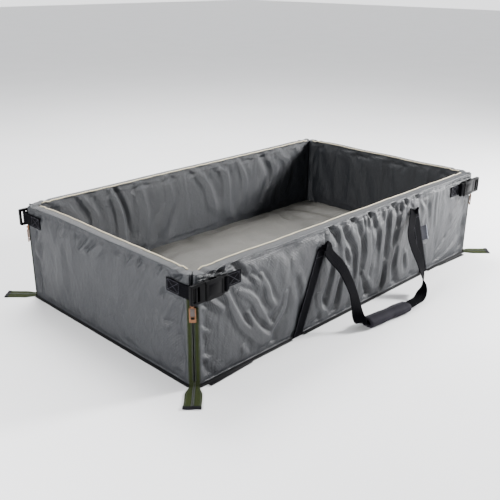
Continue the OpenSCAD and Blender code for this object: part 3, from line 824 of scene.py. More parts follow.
def make_materials(colours):
    """Every material of the cradle and its stage."""
    coated_nylon("coated_nylon", colours.cloth_dark, colours.cloth_light, 0.43)
    # the base's copy of the walls' nylon, painted lighter for the light on its upward face: painted light
    coated_nylon("coated_nylon_painted_lit_floor", colours.painted_lit_lining_dark, colours.painted_lit_lining_light, 0.44)
    webbing_material("polypropylene_webbing", colours.webbing_dark, colours.webbing_light)

    # PVC-coated polyester: dense black with a fine emboss that keeps it from looking wet
    tree, shader, at = new_material("coated_polyester_underside", "#060608", 0.7, Specular_IOR_Level=0.2)
    vary_colour(tree, shader, at["Object"], "#050507", "#0a0a0d", 30)
    emboss = add_node(tree, "ShaderNodeTexVoronoi", {"Vector": at["Object"], "Scale": 450.0})
    vary_roughness(tree, shader, emboss.outputs["Distance"], 0.5, 0.72)
    raise_surface(tree, shader, emboss.outputs["Distance"], 0.5, 0.4)

    # Woven polyester zip tape: a herringbone twill in two shades
    tree, shader, at = new_material("polyester_zip_tape", colours.zip_dark, 0.8, Specular_IOR_Level=0.1)
    parts = add_node(tree, "ShaderNodeSeparateXYZ", {"Vector": at["UV"]})
    side = add_node(tree, "ShaderNodeMath", {0: parts.outputs["Y"]}, operation="ABSOLUTE")
    chevron = add_node(tree, "ShaderNodeMath", {0: side.outputs[0], 1: 1.0, 2: parts.outputs["X"]},
                       operation="MULTIPLY_ADD")
    # the twill's lines are 1.2 mm apart
    lines = add_node(tree, "ShaderNodeMath", {0: chevron.outputs[0], 1: 2 * math.pi / (1.2 * MM)},
                     operation="MULTIPLY")
    twill = add_node(tree, "ShaderNodeMath", {0: lines.outputs[0]}, operation="SINE")
    _, mix = vary_colour(tree, shader, at["Object"], colours.zip_dark, colours.zip_light, 160)
    share = add_node(tree, "ShaderNodeMapRange", {"Value": twill.outputs[0], "From Min": -1.0})
    tree.links.new(share.outputs[0], mix.inputs[0])
    raise_surface(tree, shader, twill.outputs[0], 0.6, 0.3)

    # Nylon coil: smooth monofilament, dark grey on the cradle's corners
    tree, shader, at = new_material("nylon_coil", "#2b2d2c", 0.38)
    noise, _ = vary_colour(tree, shader, at["Object"], "#222424", "#41433f", 300)
    vary_roughness(tree, shader, noise.outputs["Fac"], 0.3, 0.48)

    # Acetal mouldings: near black, glossy on the lands and finely sparked in between
    tree, shader, at = new_material("acetal_moulding", "#050506", 0.36, Specular_IOR_Level=0.05, IOR=1.48)
    vary_colour(tree, shader, at["Object"], "#040405", "#0a0a0c", 60)
    spark = add_node(tree, "ShaderNodeTexNoise", {"Vector": at["Object"], "Scale": 900.0, "Detail": 3.0})
    vary_roughness(tree, shader, spark.outputs["Fac"], 0.24, 0.44)
    raise_surface(tree, shader, spark.outputs["Fac"], 0.25, 0.12)

    # Antique copper plate on die-cast zinc: worn bright on its edges, brown in its hollows
    tree, shader, at = new_material("antique_copper_plate", colours.copper_dark, 0.34, Metallic=1.0)
    worn = add_node(tree, "ShaderNodeNewGeometry")
    edge = add_node(tree, "ShaderNodeMapRange",
                    {"Value": worn.outputs["Pointiness"], "From Min": 0.46, "From Max": 0.58})
    stain = add_node(tree, "ShaderNodeTexNoise", {"Vector": at["Object"], "Scale": 260.0, "Detail": 6.0})
    amount = add_node(tree, "ShaderNodeMath", {0: edge.outputs[0], 1: stain.outputs["Fac"]},
                      operation="ADD", use_clamp=True)
    mix = add_node(tree, "ShaderNodeMix", {0: amount.outputs[0], 6: linear(colours.copper_dark),
                                           7: linear(colours.copper_light)}, data_type="RGBA")
    tree.links.new(mix.outputs[2], shader.inputs["Base Color"])
    vary_roughness(tree, shader, stain.outputs["Fac"], 0.24, 0.46)
    raise_surface(tree, shader, stain.outputs["Fac"], 0.2, 0.1)

    # Baked enamel in the pull's hollow: dark brown, with fine speckle
    tree, shader, at = new_material("pull_enamel", "#4a3328", 0.42, Coat_Weight=0.3, Coat_Roughness=0.2)
    speck, _ = vary_colour(tree, shader, at["Object"], "#20150f", "#3a281e", 500)
    raise_surface(tree, shader, speck.outputs["Fac"], 0.2, 0.1)

    # Knitted wrap over foam: dull charcoal with a fine lengthwise knit
    tree, shader, at = new_material("knit_grip_wrap", "#26252c", 0.82, Specular_IOR_Level=0.12)
    vary_colour(tree, shader, at["Object"], "#121116", "#211f27", 55)
    # the knit's loops are 1 mm apart, drawn at 1.8 mm to show
    knit = add_node(tree, "ShaderNodeTexVoronoi", {"Vector": at["Object"], "Scale": 1 / (1.8 * MM)})
    raise_surface(tree, shader, knit.outputs["Distance"], 0.6, 0.5)

    # Grosgrain binding: matt black, with its 1 mm ribs drawn about 4 mm apart to show
    tree, shader, at = new_material("grosgrain_binding", "#0f0f14", 0.7, Specular_IOR_Level=0.12)
    vary_colour(tree, shader, at["Object"], "#08080c", "#100f15", 80)
    ribs = add_node(tree, "ShaderNodeTexWave", {"Vector": at["Object"], "Scale": band_scale(1.4)},
                    bands_direction="DIAGONAL")
    raise_surface(tree, shader, ribs.outputs["Fac"], 0.6, 0.3)

    # Sewing thread: twisted polyester, black on the webbing. The rim seam and its thread are real, but their
    # pale beige is a painted highlight along the rims
    for name, low, high in (("seam_thread_painted_highlight", "#cfc3a6", "#f4ead0"),
                            ("black_thread", "#23222b", "#3b3a45"), ("seam_painted_highlight", "#8f866f", "#c9bea2")):
        tree, shader, at = new_material(name, low, 0.6, Sheen_Weight=0.05)
        twist, _ = vary_colour(tree, shader, at["Object"], low, high, 420)
        raise_surface(tree, shader, twist.outputs["Fac"], 0.5, 0.2)

    # Damask label: fine dark weave with a paler woven edge
    tree, shader, at = new_material("damask_label", "#0d0e15", 0.6, Specular_IOR_Level=0.15)
    parts = add_node(tree, "ShaderNodeSeparateXYZ", {"Vector": at["UV"]})
    edge = add_node(tree, "ShaderNodeMapRange",
                    {"Value": parts.outputs["Y"], "From Min": 0.0116, "From Max": 0.0119})
    _, mix = vary_colour(tree, shader, at["Object"], "#0b0c12", "#171926", 200)
    pale = add_node(tree, "ShaderNodeMix", {0: edge.outputs[0], 6: mix.outputs[2], 7: linear("#a9adbd")},
                    data_type="RGBA")
    tree.links.new(pale.outputs[2], shader.inputs["Base Color"])
    raise_surface(tree, shader, plain_weave(tree, at["UV"], 0.9), 0.5, 0.2)

    # Painted studio floor: pale, with a faint mottle so that it isn't a blank sheet
    tree, shader, at = new_material("painted_floor", colours.floor_dark, 0.75)
    mottle, _ = vary_colour(tree, shader, at["Object"], colours.floor_dark, colours.floor_light, 3)
    vary_roughness(tree, shader, mottle.outputs["Fac"], 0.7, 0.8)


# ---- What a user sets ----------------------------------------------------------------------------
def colour_prop(name, text, default):
    """A colour that a user sets as an sRGB hex value."""
    return bpy.props.StringProperty(name=name, description=text, default=default, maxlen=7)


def size_prop(name, text, default, least, most):
    """A length that a user sets, in metres, between two limits."""
    return bpy.props.FloatProperty(name=name, description=text, default=default, min=least, max=most,
                                   subtype="DISTANCE", unit="LENGTH")


class CradleColours(bpy.types.PropertyGroup):
    """The cradle's colours, as sRGB hex values."""

    cloth_dark: colour_prop("Cloth, dark", "Darker shade of the outer nylon", "#15171d")
    cloth_light: colour_prop("Cloth, light", "Lighter shade of the outer nylon", "#212428")
    # the floor's nylon is the walls' nylon painted lighter: painted light on its upward face
    painted_lit_lining_dark: colour_prop("Lining, dark", "Darker shade of the floor's nylon", "#4a4945")
    painted_lit_lining_light: colour_prop("Lining, light", "Lighter shade of the floor's nylon", "#5b5954")
    webbing_dark: colour_prop("Webbing, dark", "Darker shade of the webbing", "#020204")
    webbing_light: colour_prop("Webbing, light", "Lighter shade of the webbing", "#06060a")
    zip_dark: colour_prop("Zip tape, dark", "Darker shade of the zips' woven tape", "#1a2010")
    zip_light: colour_prop("Zip tape, light", "Lighter shade of the zips' woven tape", "#343c1c")
    copper_dark: colour_prop("Copper, dark", "Colour in the hollows of the plated pulls", "#221710")
    copper_light: colour_prop("Copper, light", "Colour on the worn edges of the plated pulls", "#6f4f3c")
    floor_dark: colour_prop("Floor, dark", "Darker shade of the studio floor", "#e9e9ea")
    floor_light: colour_prop("Floor, light", "Lighter shade of the studio floor", "#f1f1f2")


class CradleSizes(bpy.types.PropertyGroup):
    """The sizes of details that the CAD frame leaves to the looks, in metres."""

    seam_r: size_prop("Rim seam radius", "Radius of the sewn edge round the rims", 0.0014, 0.0006, 0.003)
    base_crown: size_prop("Base crown", "How far the base cushion rises in its middle", 0.003, 0.0, 0.008)
    tooth_pitch: size_prop("Zip pitch", "Distance between two teeth of a coil", 0.0024, 0.0018, 0.004)


# ---- Operators -----------------------------------------------------------------------------------
class CRADLE_OT_walls(bpy.types.Operator):
    """Model the four padded walls and the sewn seams round their rims"""

    bl_idname = "cradle.walls"
    bl_label = "Padded Walls"

    def execute(self, context):
        radius = context.scene.cradle_sizes.seam_r / MM
        for wall, (_, half, _, _) in WALLS.items():
            body = wall + "_wall"
            pad = wall_pad(wall)
            finish_piece(pad, "coated_nylon", body, "cover_fabric", f"wall_{wall}_cover", f"wall_{wall}_foam")
            tree = tree_of(pad)
            line, normals = [], []
            for s in np.arange(-(half - WALL_T - 9), half - WALL_T - 8, 3.0):
                at, normal = surface_at(tree, wall, s, WALL_T - 5.4 + 0.5 * math.sin(s / 9))
                line.append(at + normal * radius * 0.5)
                normals.append(normal)
            self.seam(wall, np.array(line), np.array(normals), radius, body)
        return {"FINISHED"}

    def seam(self, wall, line, normals, radius, body):
        """The turned edge where the outer and inner cloth are sewn together, with its thread, both coloured
        pale beige as a painted highlight along the rim.
        """
        along = unit(np.gradient(line, axis=0))
        side = unit(np.cross(along, normals))
        sides = 6
        angles = np.arange(sides) * 2 * math.pi / sides
        points = (line[:, None] + radius * 1.3 * np.cos(angles)[None, :, None] * side[:, None]
                  + radius * np.sin(angles)[None, :, None] * normals[:, None]).reshape(-1, 3)
        edge = mesh_piece("rim_seam_" + wall, points, [f[::-1] for f in tube_faces(len(line), sides)])
        # real seam and thread, coloured pale beige: a painted highlight along the rim
        finish_piece(smooth(edge), "seam_painted_highlight", body, "binding_tape")
        thread = stitches("rim_stitching_" + wall, [(line + normals * radius * 0.8, normals)],
                          length=3.4, gap=1.6, width=1.0, height=0.6)
        finish_piece(thread, "seam_thread_painted_highlight", body, "binding_tape")


class CRADLE_OT_base(bpy.types.Operator):
    """Model the base cushion, the underside sheet, its corner patches and the straps under it"""

    bl_idname = "cradle.base"
    bl_label = "Base"

    def execute(self, context):
        self.cushion(context.scene.cradle_sizes.base_crown / MM)
        sheet = cad_copy("base_underside", "underside_sheet", 0.7)
        finish_piece(sheet, "coated_polyester_underside", "base", "underside_sheet", "base_underside")
        patches = cad_copy("corner_patches", "corner_reinforcements", 0.6)
        finish_piece(patches, "coated_polyester_underside", "base", "underside_sheet", "corner_patches")
        rows, down = [], (0, 0, -1)
        for n, s in enumerate((-1, 1)):
            x = HANDLE_X + s * LEG_FOOT
            path = [(x, y, 0.8) for y in np.linspace(-HALF_W, HALF_W, 60)]
            strap = ribbon(f"under_strap_{n + 1}", path, (1, 0, 0), WEBBING_W, WEBBING_T - 0.2)
            finish_piece(strap, "polypropylene_webbing", "base", "black_webbing",
                         *(["under_straps"] if n else []))
            for side in (-11, 11):
                ends = [(x + side, y, 0.12) for y in (-HALF_W + 6, HALF_W - 6)]
                rows.append((ends, down))
        thread = stitches("under_strap_stitching", rows, height=0.3)
        finish_piece(thread, "black_thread", "base", "black_webbing")
        return {"FINISHED"}

    def cushion(self, crown):
        """The foam base in its nylon cover: flat below, softly crowned and creased on top."""
        low, high = (np.array(corner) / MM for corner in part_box("base_cover"))
        high = high - [0.3, 0.3, crown * 0.5]
        low = low + [0.3, 0.3, 0]
        nx, ny, nz = int((high[0] - low[0]) / 8), int((high[1] - low[1]) / 8), 6
        ijk, faces = shell_grid(nx, ny, nz)
        share = ijk / [nx, ny, nz]
        points = low + share * (high - low)
        # the top edges are rounded by the foam, so the square rim is drawn in
        inset = np.minimum((points - low)[:, :2], (high - points)[:, :2]).min(1)
        points[:, 2] -= 6 * share[:, 2] ** 3 * np.exp(-inset / 6)
        piece = mesh_piece("base_cushion", points, faces)
        puff(piece, share[:, 2] < 0.9, 2.5, pressure=1.0, slack=0.02)
        apply_modifier(piece, "SUBSURF", levels=1, render_levels=1)
        points, normals = points_of(piece), normals_of(piece)
        x, y, z = points.T
        top = smooth_step(0.3, 0.9, normals[:, 2])
        inset = np.minimum(high[0] - np.abs(x), high[1] - np.abs(y))
        creases = [
            ([(20, 240), (189, 224), (314, 230)], 22, 3.2),
            ([(-330, 120), (-117, 151), (-9, 80)], 26, 3.0),
            ([(292, 270), (262, 154), (351, 100)], 20, 3.2),
            ([(134, 100), (200, 20), (330, -20)], 24, 2.6),
            ([(-480, 60), (-300, 20), (-160, 60)], 26, 3.0),
            ([(-400, 230), (-260, 200), (-120, 240)], 20, 2.6),
            ([(-60, -60), (60, -120), (240, -100)], 26, 2.6),
            ([(380, 260), (420, 120), (400, -40)], 24, -3.0),
            ([(-200, -100), (-320, -160), (-460, -120)], 24, 2.6),
            ([(440, 20), (470, -120), (450, -240)], 22, 2.4),
            ([(-500, 200), (-460, 120), (-470, 0)], 18, 2.4),
            ([(100, 200), (60, 100), (120, 0)], 20, -2.4),
        ]
        height = folds(x, y, creases) * 1.5 + ripples(x, y, 77, 130, 2.4) + crown * smooth_step(0, 120, inset)
        height *= smooth_step(2, 40, inset)
        points[:, 2] = np.minimum(z + height * top, high[2] + crown + 3.5)
        points[:, 2] = np.maximum(points[:, 2], low[2])
        place_points(piece, points)
        cloth_uv(piece, points)
        # the cushion gets the lighter, painted-light copy of the walls' nylon
        finish_piece(smooth(piece), "coated_nylon_painted_lit_floor", "base", "base_fabric", "base_cover", "base_foam")


class CRADLE_OT_zips(bpy.types.Operator):
    """Model the corner zips: tapes, coils, and the wide tails that lie on the ground"""

    bl_idname = "cradle.zips"
    bl_label = "Corner Zips"

    def execute(self, context):
        pitch = context.scene.cradle_sizes.tooth_pitch / MM
        for wall in WALLS:
            corners = {"front": ("fl", "fr"), "rear": ("rl", "rr"),
                       "left": ("fl", "rl"), "right": ("fr", "rr")}
            side = 1 if wall in ("front", "rear") else -1
            low, high = (corner.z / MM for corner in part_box("zip_tapes_" + wall))
            tapes, frames, rows = [], [], []
            for corner in corners[wall]:
                z = np.linspace(low, high, 56)
                ease = 0.12 * np.sin(z / 11)
                path = zip_point(corner, np.stack([np.full(56, side * 7), -0.5 + ease * 0.3, z], 1))
                tapes.append(ribbon("tape", path, zip_way(corner, (1, 0, 0)), 9.6, 0.8, cells=8, edge=0.2))
                for at in np.arange(low + 1, high - 1, pitch):
                    at += pitch / 2 if side < 0 else 0
                    frames.append([zip_point(corner, (side * 1.9, -1.75, at)), zip_way(corner, (2.1, 0, 0)),
                                   (0, 0, 1.5), zip_way(corner, (0, -1.5, 0))])
                for across in (4.3, 10.2):
                    ends = [(side * across, -0.95, low + 2), (side * across, -0.95, high - 2)]
                    rows.append((zip_point(corner, ends), zip_way(corner, (0, -1, 0))))
            tape = join(*tapes)
            tape.name = "zip_tape_" + wall
            finish_piece(tape, "polyester_zip_tape", wall + "_wall", "zip_tape", "zip_tapes_" + wall)
            coil = scatter("zip_coil_" + wall, SHAPES["tooth"], frames)
            finish_piece(smooth(coil, 50), "nylon_coil", wall + "_wall", "zip_tape")
            thread = stitches("zip_stitching_" + wall, rows, length=2.2, gap=0.8, width=0.6, height=0.3)
            finish_piece(thread, "black_thread", wall + "_wall", "zip_tape")
        self.tails(pitch)
        return {"FINISHED"}

    def tails(self, pitch):
        """Each zip runs on below its wall into a tail, which widens, turns outward and ends bound."""
        profile = [(-0.5, 12.4), (-0.7, 9.0), (-1.5, 5.2), (-4.2, 2.3), (-10, 1.3), (-20, 0.98), (-42, 0.9),
                   (-58, 1.0), (-75, 1.2)]
        line = spline([(y, z) for y, z in profile], 2.5)
        wide = 20.6 + 3 * smooth_step(3, 8, -line[:, 0]) + 12.4 * smooth_step(6, 32, -line[:, 0])
        frames, rows = [], []
        for corner in CORNERS:
            local = np.stack([0.4 * np.sin(line[:, 0] / 12), line[:, 0], line[:, 1]], 1)
            path = zip_point(corner, local)
            across = zip_way(corner, (1, 0, 0))
            tail = ribbon("zip_tail_" + corner, path, across, wide, 1.5, cells=10, edge=0.3)
            finish_piece(tail, "polyester_zip_tape", "base", "zip_tape",
                         *(["zip_tails"] if corner == "fl" else []))
            along = unit(np.gradient(path, axis=0))
            up = np.cross(across, along)
            up *= np.sign(up[-1, 2])
            run = np.r_[0, np.cumsum(np.linalg.norm(np.diff(path, axis=0), axis=1))]
            for at in np.arange(1.5, run[-1] - 1, pitch):
                p, a, n = (np.array([np.interp(at, run, rail[:, k]) for k in range(3)])
                           for rail in (path, along, up))
                for side in (-1, 1):
                    shift = across * side * 1.7
                    step = a * (pitch / 2 if side < 0 else 0)
                    frames.append([p + shift + step + n * 1.3, across * 2.6, a * 1.4, n * 1.2])
            for side in (-1, 1):
                shift = across * side * (wide[:, None] * 0.5 - 3.2)
                rows.append((path + shift + up * 0.75, up))
            self.bound_end(corner)
        coil = scatter("zip_tail_coils", SHAPES["tooth"], frames)
        finish_piece(smooth(coil, 50), "nylon_coil", "base", "zip_tape")
        thread = stitches("zip_tail_stitching", rows, length=2.2, gap=0.9, width=0.6, height=0.3)
        finish_piece(thread, "black_thread", "base", "zip_tape")

    def bound_end(self, corner):
        """A folded grosgrain binding over the tail's end."""
        end = rounded_box("zip_tail_end_" + corner, (-19, -83, 0.05), (19, -73.6, 2.9), 0.9, 3)
        apply_modifier(end, "SUBSURF", subdivision_type="SIMPLE", levels=2, render_levels=2)
        p = points_of(end)
        p[:, 2] = np.clip(p[:, 2] * (1 + 0.06 * np.sin(p[:, 0] / 4)), 0.02, 3.0)
        p[:, 1] += 0.5 * np.sin(p[:, 0] / 6)
        place_points(end, zip_point(corner, p))
        if mirrored(corner):
            end.data.flip_normals()
        finish_piece(smooth(end, 40), "grosgrain_binding", "base", "binding_tape",
                     *(["zip_tail_ends"] if corner == "fl" else []))


class CRADLE_OT_sliders(bpy.types.Operator):
    """Model the four zip sliders and their stamped pulls"""

    bl_idname = "cradle.sliders"
    bl_label = "Sliders and Pulls"

    def execute(self, context):
        for corner in CORNERS:
            slider = cad_copy("slider_" + corner, "zip_slider_" + corner, 0.35)
            finish_piece(slider, "antique_copper_plate", "slider_" + corner, "zip_metal", "slider_" + corner)
            pull = cad_copy("pull_" + corner, "zip_pull_" + corner, 0.35)
            finish_piece(pull, "antique_copper_plate", "pull_" + corner, "zip_metal", "pull_" + corner)
            self.panel(corner)
        return {"FINISHED"}

    def panel(self, corner):
        """The enamelled hollow in the pull's face, with a raised frame round it."""
        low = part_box("pull_" + corner)[0].z / MM
        face = -PULL_FACE
        z0, z1 = low + 13.4, low + 31.0
        outline = rounded_box("pull_panel_" + corner, (-4.6, face - 0.12, z0), (4.6, face + 0.4, z1), 0.35)
        bars = (((-6.2, z0 - 1.2), (-4.8, z1 + 1.2)), ((4.8, z0 - 1.2), (6.2, z1 + 1.2)),
                ((-6.2, z0 - 1.2), (6.2, z0 - 0.2)), ((-6.2, z1 + 0.2), (6.2, z1 + 1.2)))
        border = join(*[rounded_box("bar", (x0, face - 0.45, foot), (x1, face + 0.2, head), 0.18)
                        for (x0, foot), (x1, head) in bars])
        border.name = "pull_frame_" + corner
        for piece, finish in ((outline, "pull_enamel"), (border, "antique_copper_plate")):
            place_points(piece, zip_point(corner, points_of(piece)))
            if mirrored(corner):
                piece.data.flip_normals()
            finish_piece(piece, finish, "pull_" + corner, "zip_metal")


class CRADLE_OT_buckles(bpy.types.Operator):
    """Model the four side-release buckles: sockets, plugs and their sprung arms"""

    bl_idname = "cradle.buckles"
    bl_label = "Buckles"

    def execute(self, context):
        for corner, (_, rear) in CORNERS.items():
            socket = cad_copy("socket_" + corner, "buckle_socket_" + corner, 0.8, 3)
            self.mould(socket, corner, [
                ((8, -12.25, -12), (40, -11.6, 12), 0.3), ((11, -12.6, -9.5), (37, -12.0, 9.5), 0.3)]
                + [((43 + 2.2 * n, -12.5, -16), (44.2 + 2.2 * n, -11.7, 16), 0.3) for n in range(2)])
            finish_piece(socket, "acetal_moulding", "front_wall" if rear > 0 else "rear_wall",
                         "buckle_plastic", "socket_" + corner)
            plug = cad_copy("plug_" + corner, "buckle_plug_" + corner, 0.9, 3)
            self.mould(plug, corner, [((-35.6, -10.9, -19), (-31.4, -10.2, 19), 0.5),
                                      ((-24.6, -11.1, -15.4), (-20.4, -10.2, 15.4), 0.9)])
            finish_piece(plug, "acetal_moulding", "plug_" + corner, "buckle_plastic", "plug_" + corner)
            for way in ("upper", "lower"):
                arm = cad_copy(f"button_{corner}_{way}", f"buckle_arm_{corner}_{way}", 0.5, 3)
                finish_piece(arm, "acetal_moulding", f"button_{corner}_{way}", "buckle_plastic",
                             f"button_{corner}_{way}")
        return {"FINISHED"}

    def mould(self, piece, corner, lands):
        """Raised lands and grip ribs on a moulding, placed from the buckle's mouth."""
        right, rear = CORNERS[corner]
        made = []
        for low, high, bevel in lands:
            land = rounded_box("land", low, high, bevel)
            p = points_of(land)
            p += [BUCKLE_IN - HALF_L, -HALF_W, BUCKLE_Z]
            place_points(land, p * [right, rear, 1])
            if mirrored(corner):
                land.data.flip_normals()
            made.append(land)
        join(piece, *made)
        smooth(piece, 35)


class CRADLE_OT_straps(bpy.types.Operator):
    """Model the sewn tabs behind the buckles and the straps round the corners"""

    bl_idname = "cradle.straps"
    bl_label = "Buckle Straps"

    def execute(self, context):
        for corner, (right, rear) in CORNERS.items():
            wall = "front" if rear > 0 else "rear"
            end = "left" if right > 0 else "right"
            flip = np.array([right, rear, 1])
            y = -HALF_W
            # the tab leaves the wall, goes round the socket's bar and comes back on to the wall
            loop = [(-418, y - 0.9), (-440, y - 0.9), (-458, y - 1.0), (-461.2, y - 2.0), (-461.0, y - 6.5),
                    (-461.4, y - 10.6), (-464, y - 11.3), (-470, y - 11.3), (-471.2, y - 8.5),
                    (-470.8, y - 3.2)]
            path = spline([(x, yy, BUCKLE_Z) for x, yy in loop], 2.0) * flip
            tab = ribbon(f"buckle_tab_{corner}", path, (0, 0, 1), WEBBING_W - 0.6, 1.7)
            finish_piece(tab, "polypropylene_webbing", wall + "_wall", "black_webbing",
                         *(["buckle_tabs_" + wall] if right > 0 else []))
            out = np.array([0, -1.0, 0]) * flip
            rows = self.box_and_cross((-454, y - 1.8), (-422, y - 1.8), 0, flip, out)
            thread = stitches(f"tab_stitching_{corner}", rows, width=0.8, height=0.45)
            finish_piece(thread, "black_thread", wall + "_wall", "black_webbing")
            x = -HALF_L
            round_it = [(x - 0.95, y + 76), (x - 1.1, y + 40), (x - 0.95, y + 0.9)]
            line = spline([(px, py, BUCKLE_Z) for px, py in round_it], 3) * flip
            strap = ribbon(f"corner_strap_{corner}", line, (0, 0, 1), WEBBING_W - 0.4, 1.7)
            finish_piece(strap, "polypropylene_webbing", end + "_wall", "black_webbing", "strap_" + corner)
            side = np.array([-1.0, 0, 0]) * flip
            rows = self.box_and_cross((x - 1.95, y + 38), (x - 1.95, y + 72), 1, flip, side)
            thread = stitches(f"strap_stitching_{corner}", rows, width=0.8, height=0.45)
            finish_piece(thread, "black_thread", end + "_wall", "black_webbing")
            lace = [(x - 1.0, y + 0.1), (x - 1.1, y - 1.0), (x + 0.6, y - 1.45), (x + 8, y - 1.45),
                    (x + 20, y - 1.4)]
            path = spline([(px, py, BUCKLE_Z) for px, py in lace], 1.5) * flip
            tail = ribbon(f"ladder_webbing_{corner}", path, (0, 0, 1), WEBBING_W - 1, 1.2, edge=0.2)
            finish_piece(tail, "polypropylene_webbing", "plug_" + corner, "black_webbing")
        return {"FINISHED"}

    def box_and_cross(self, low, high, axis, flip, out):
        """A sewn box with a cross in it, 23 mm high, on a face at right angles to the other level axis."""
        low, high = np.array([*low, BUCKLE_Z - 11.5]), np.array([*high, BUCKLE_Z + 11.5])

        def at(a, b):
            p = low.copy()
            p[axis] = low[axis] + (high[axis] - low[axis]) * a
            p[2] = low[2] + (high[2] - low[2]) * b
            return p * flip
        box = [((0, 0), (1, 0)), ((1, 0), (1, 1)), ((1, 1), (0, 1)), ((0, 1), (0, 0))]
        cross = [((0, 0), (1, 1)), ((0, 1), (1, 0))]
        return [([at(*a), at(*b)], out) for a, b in box + cross]


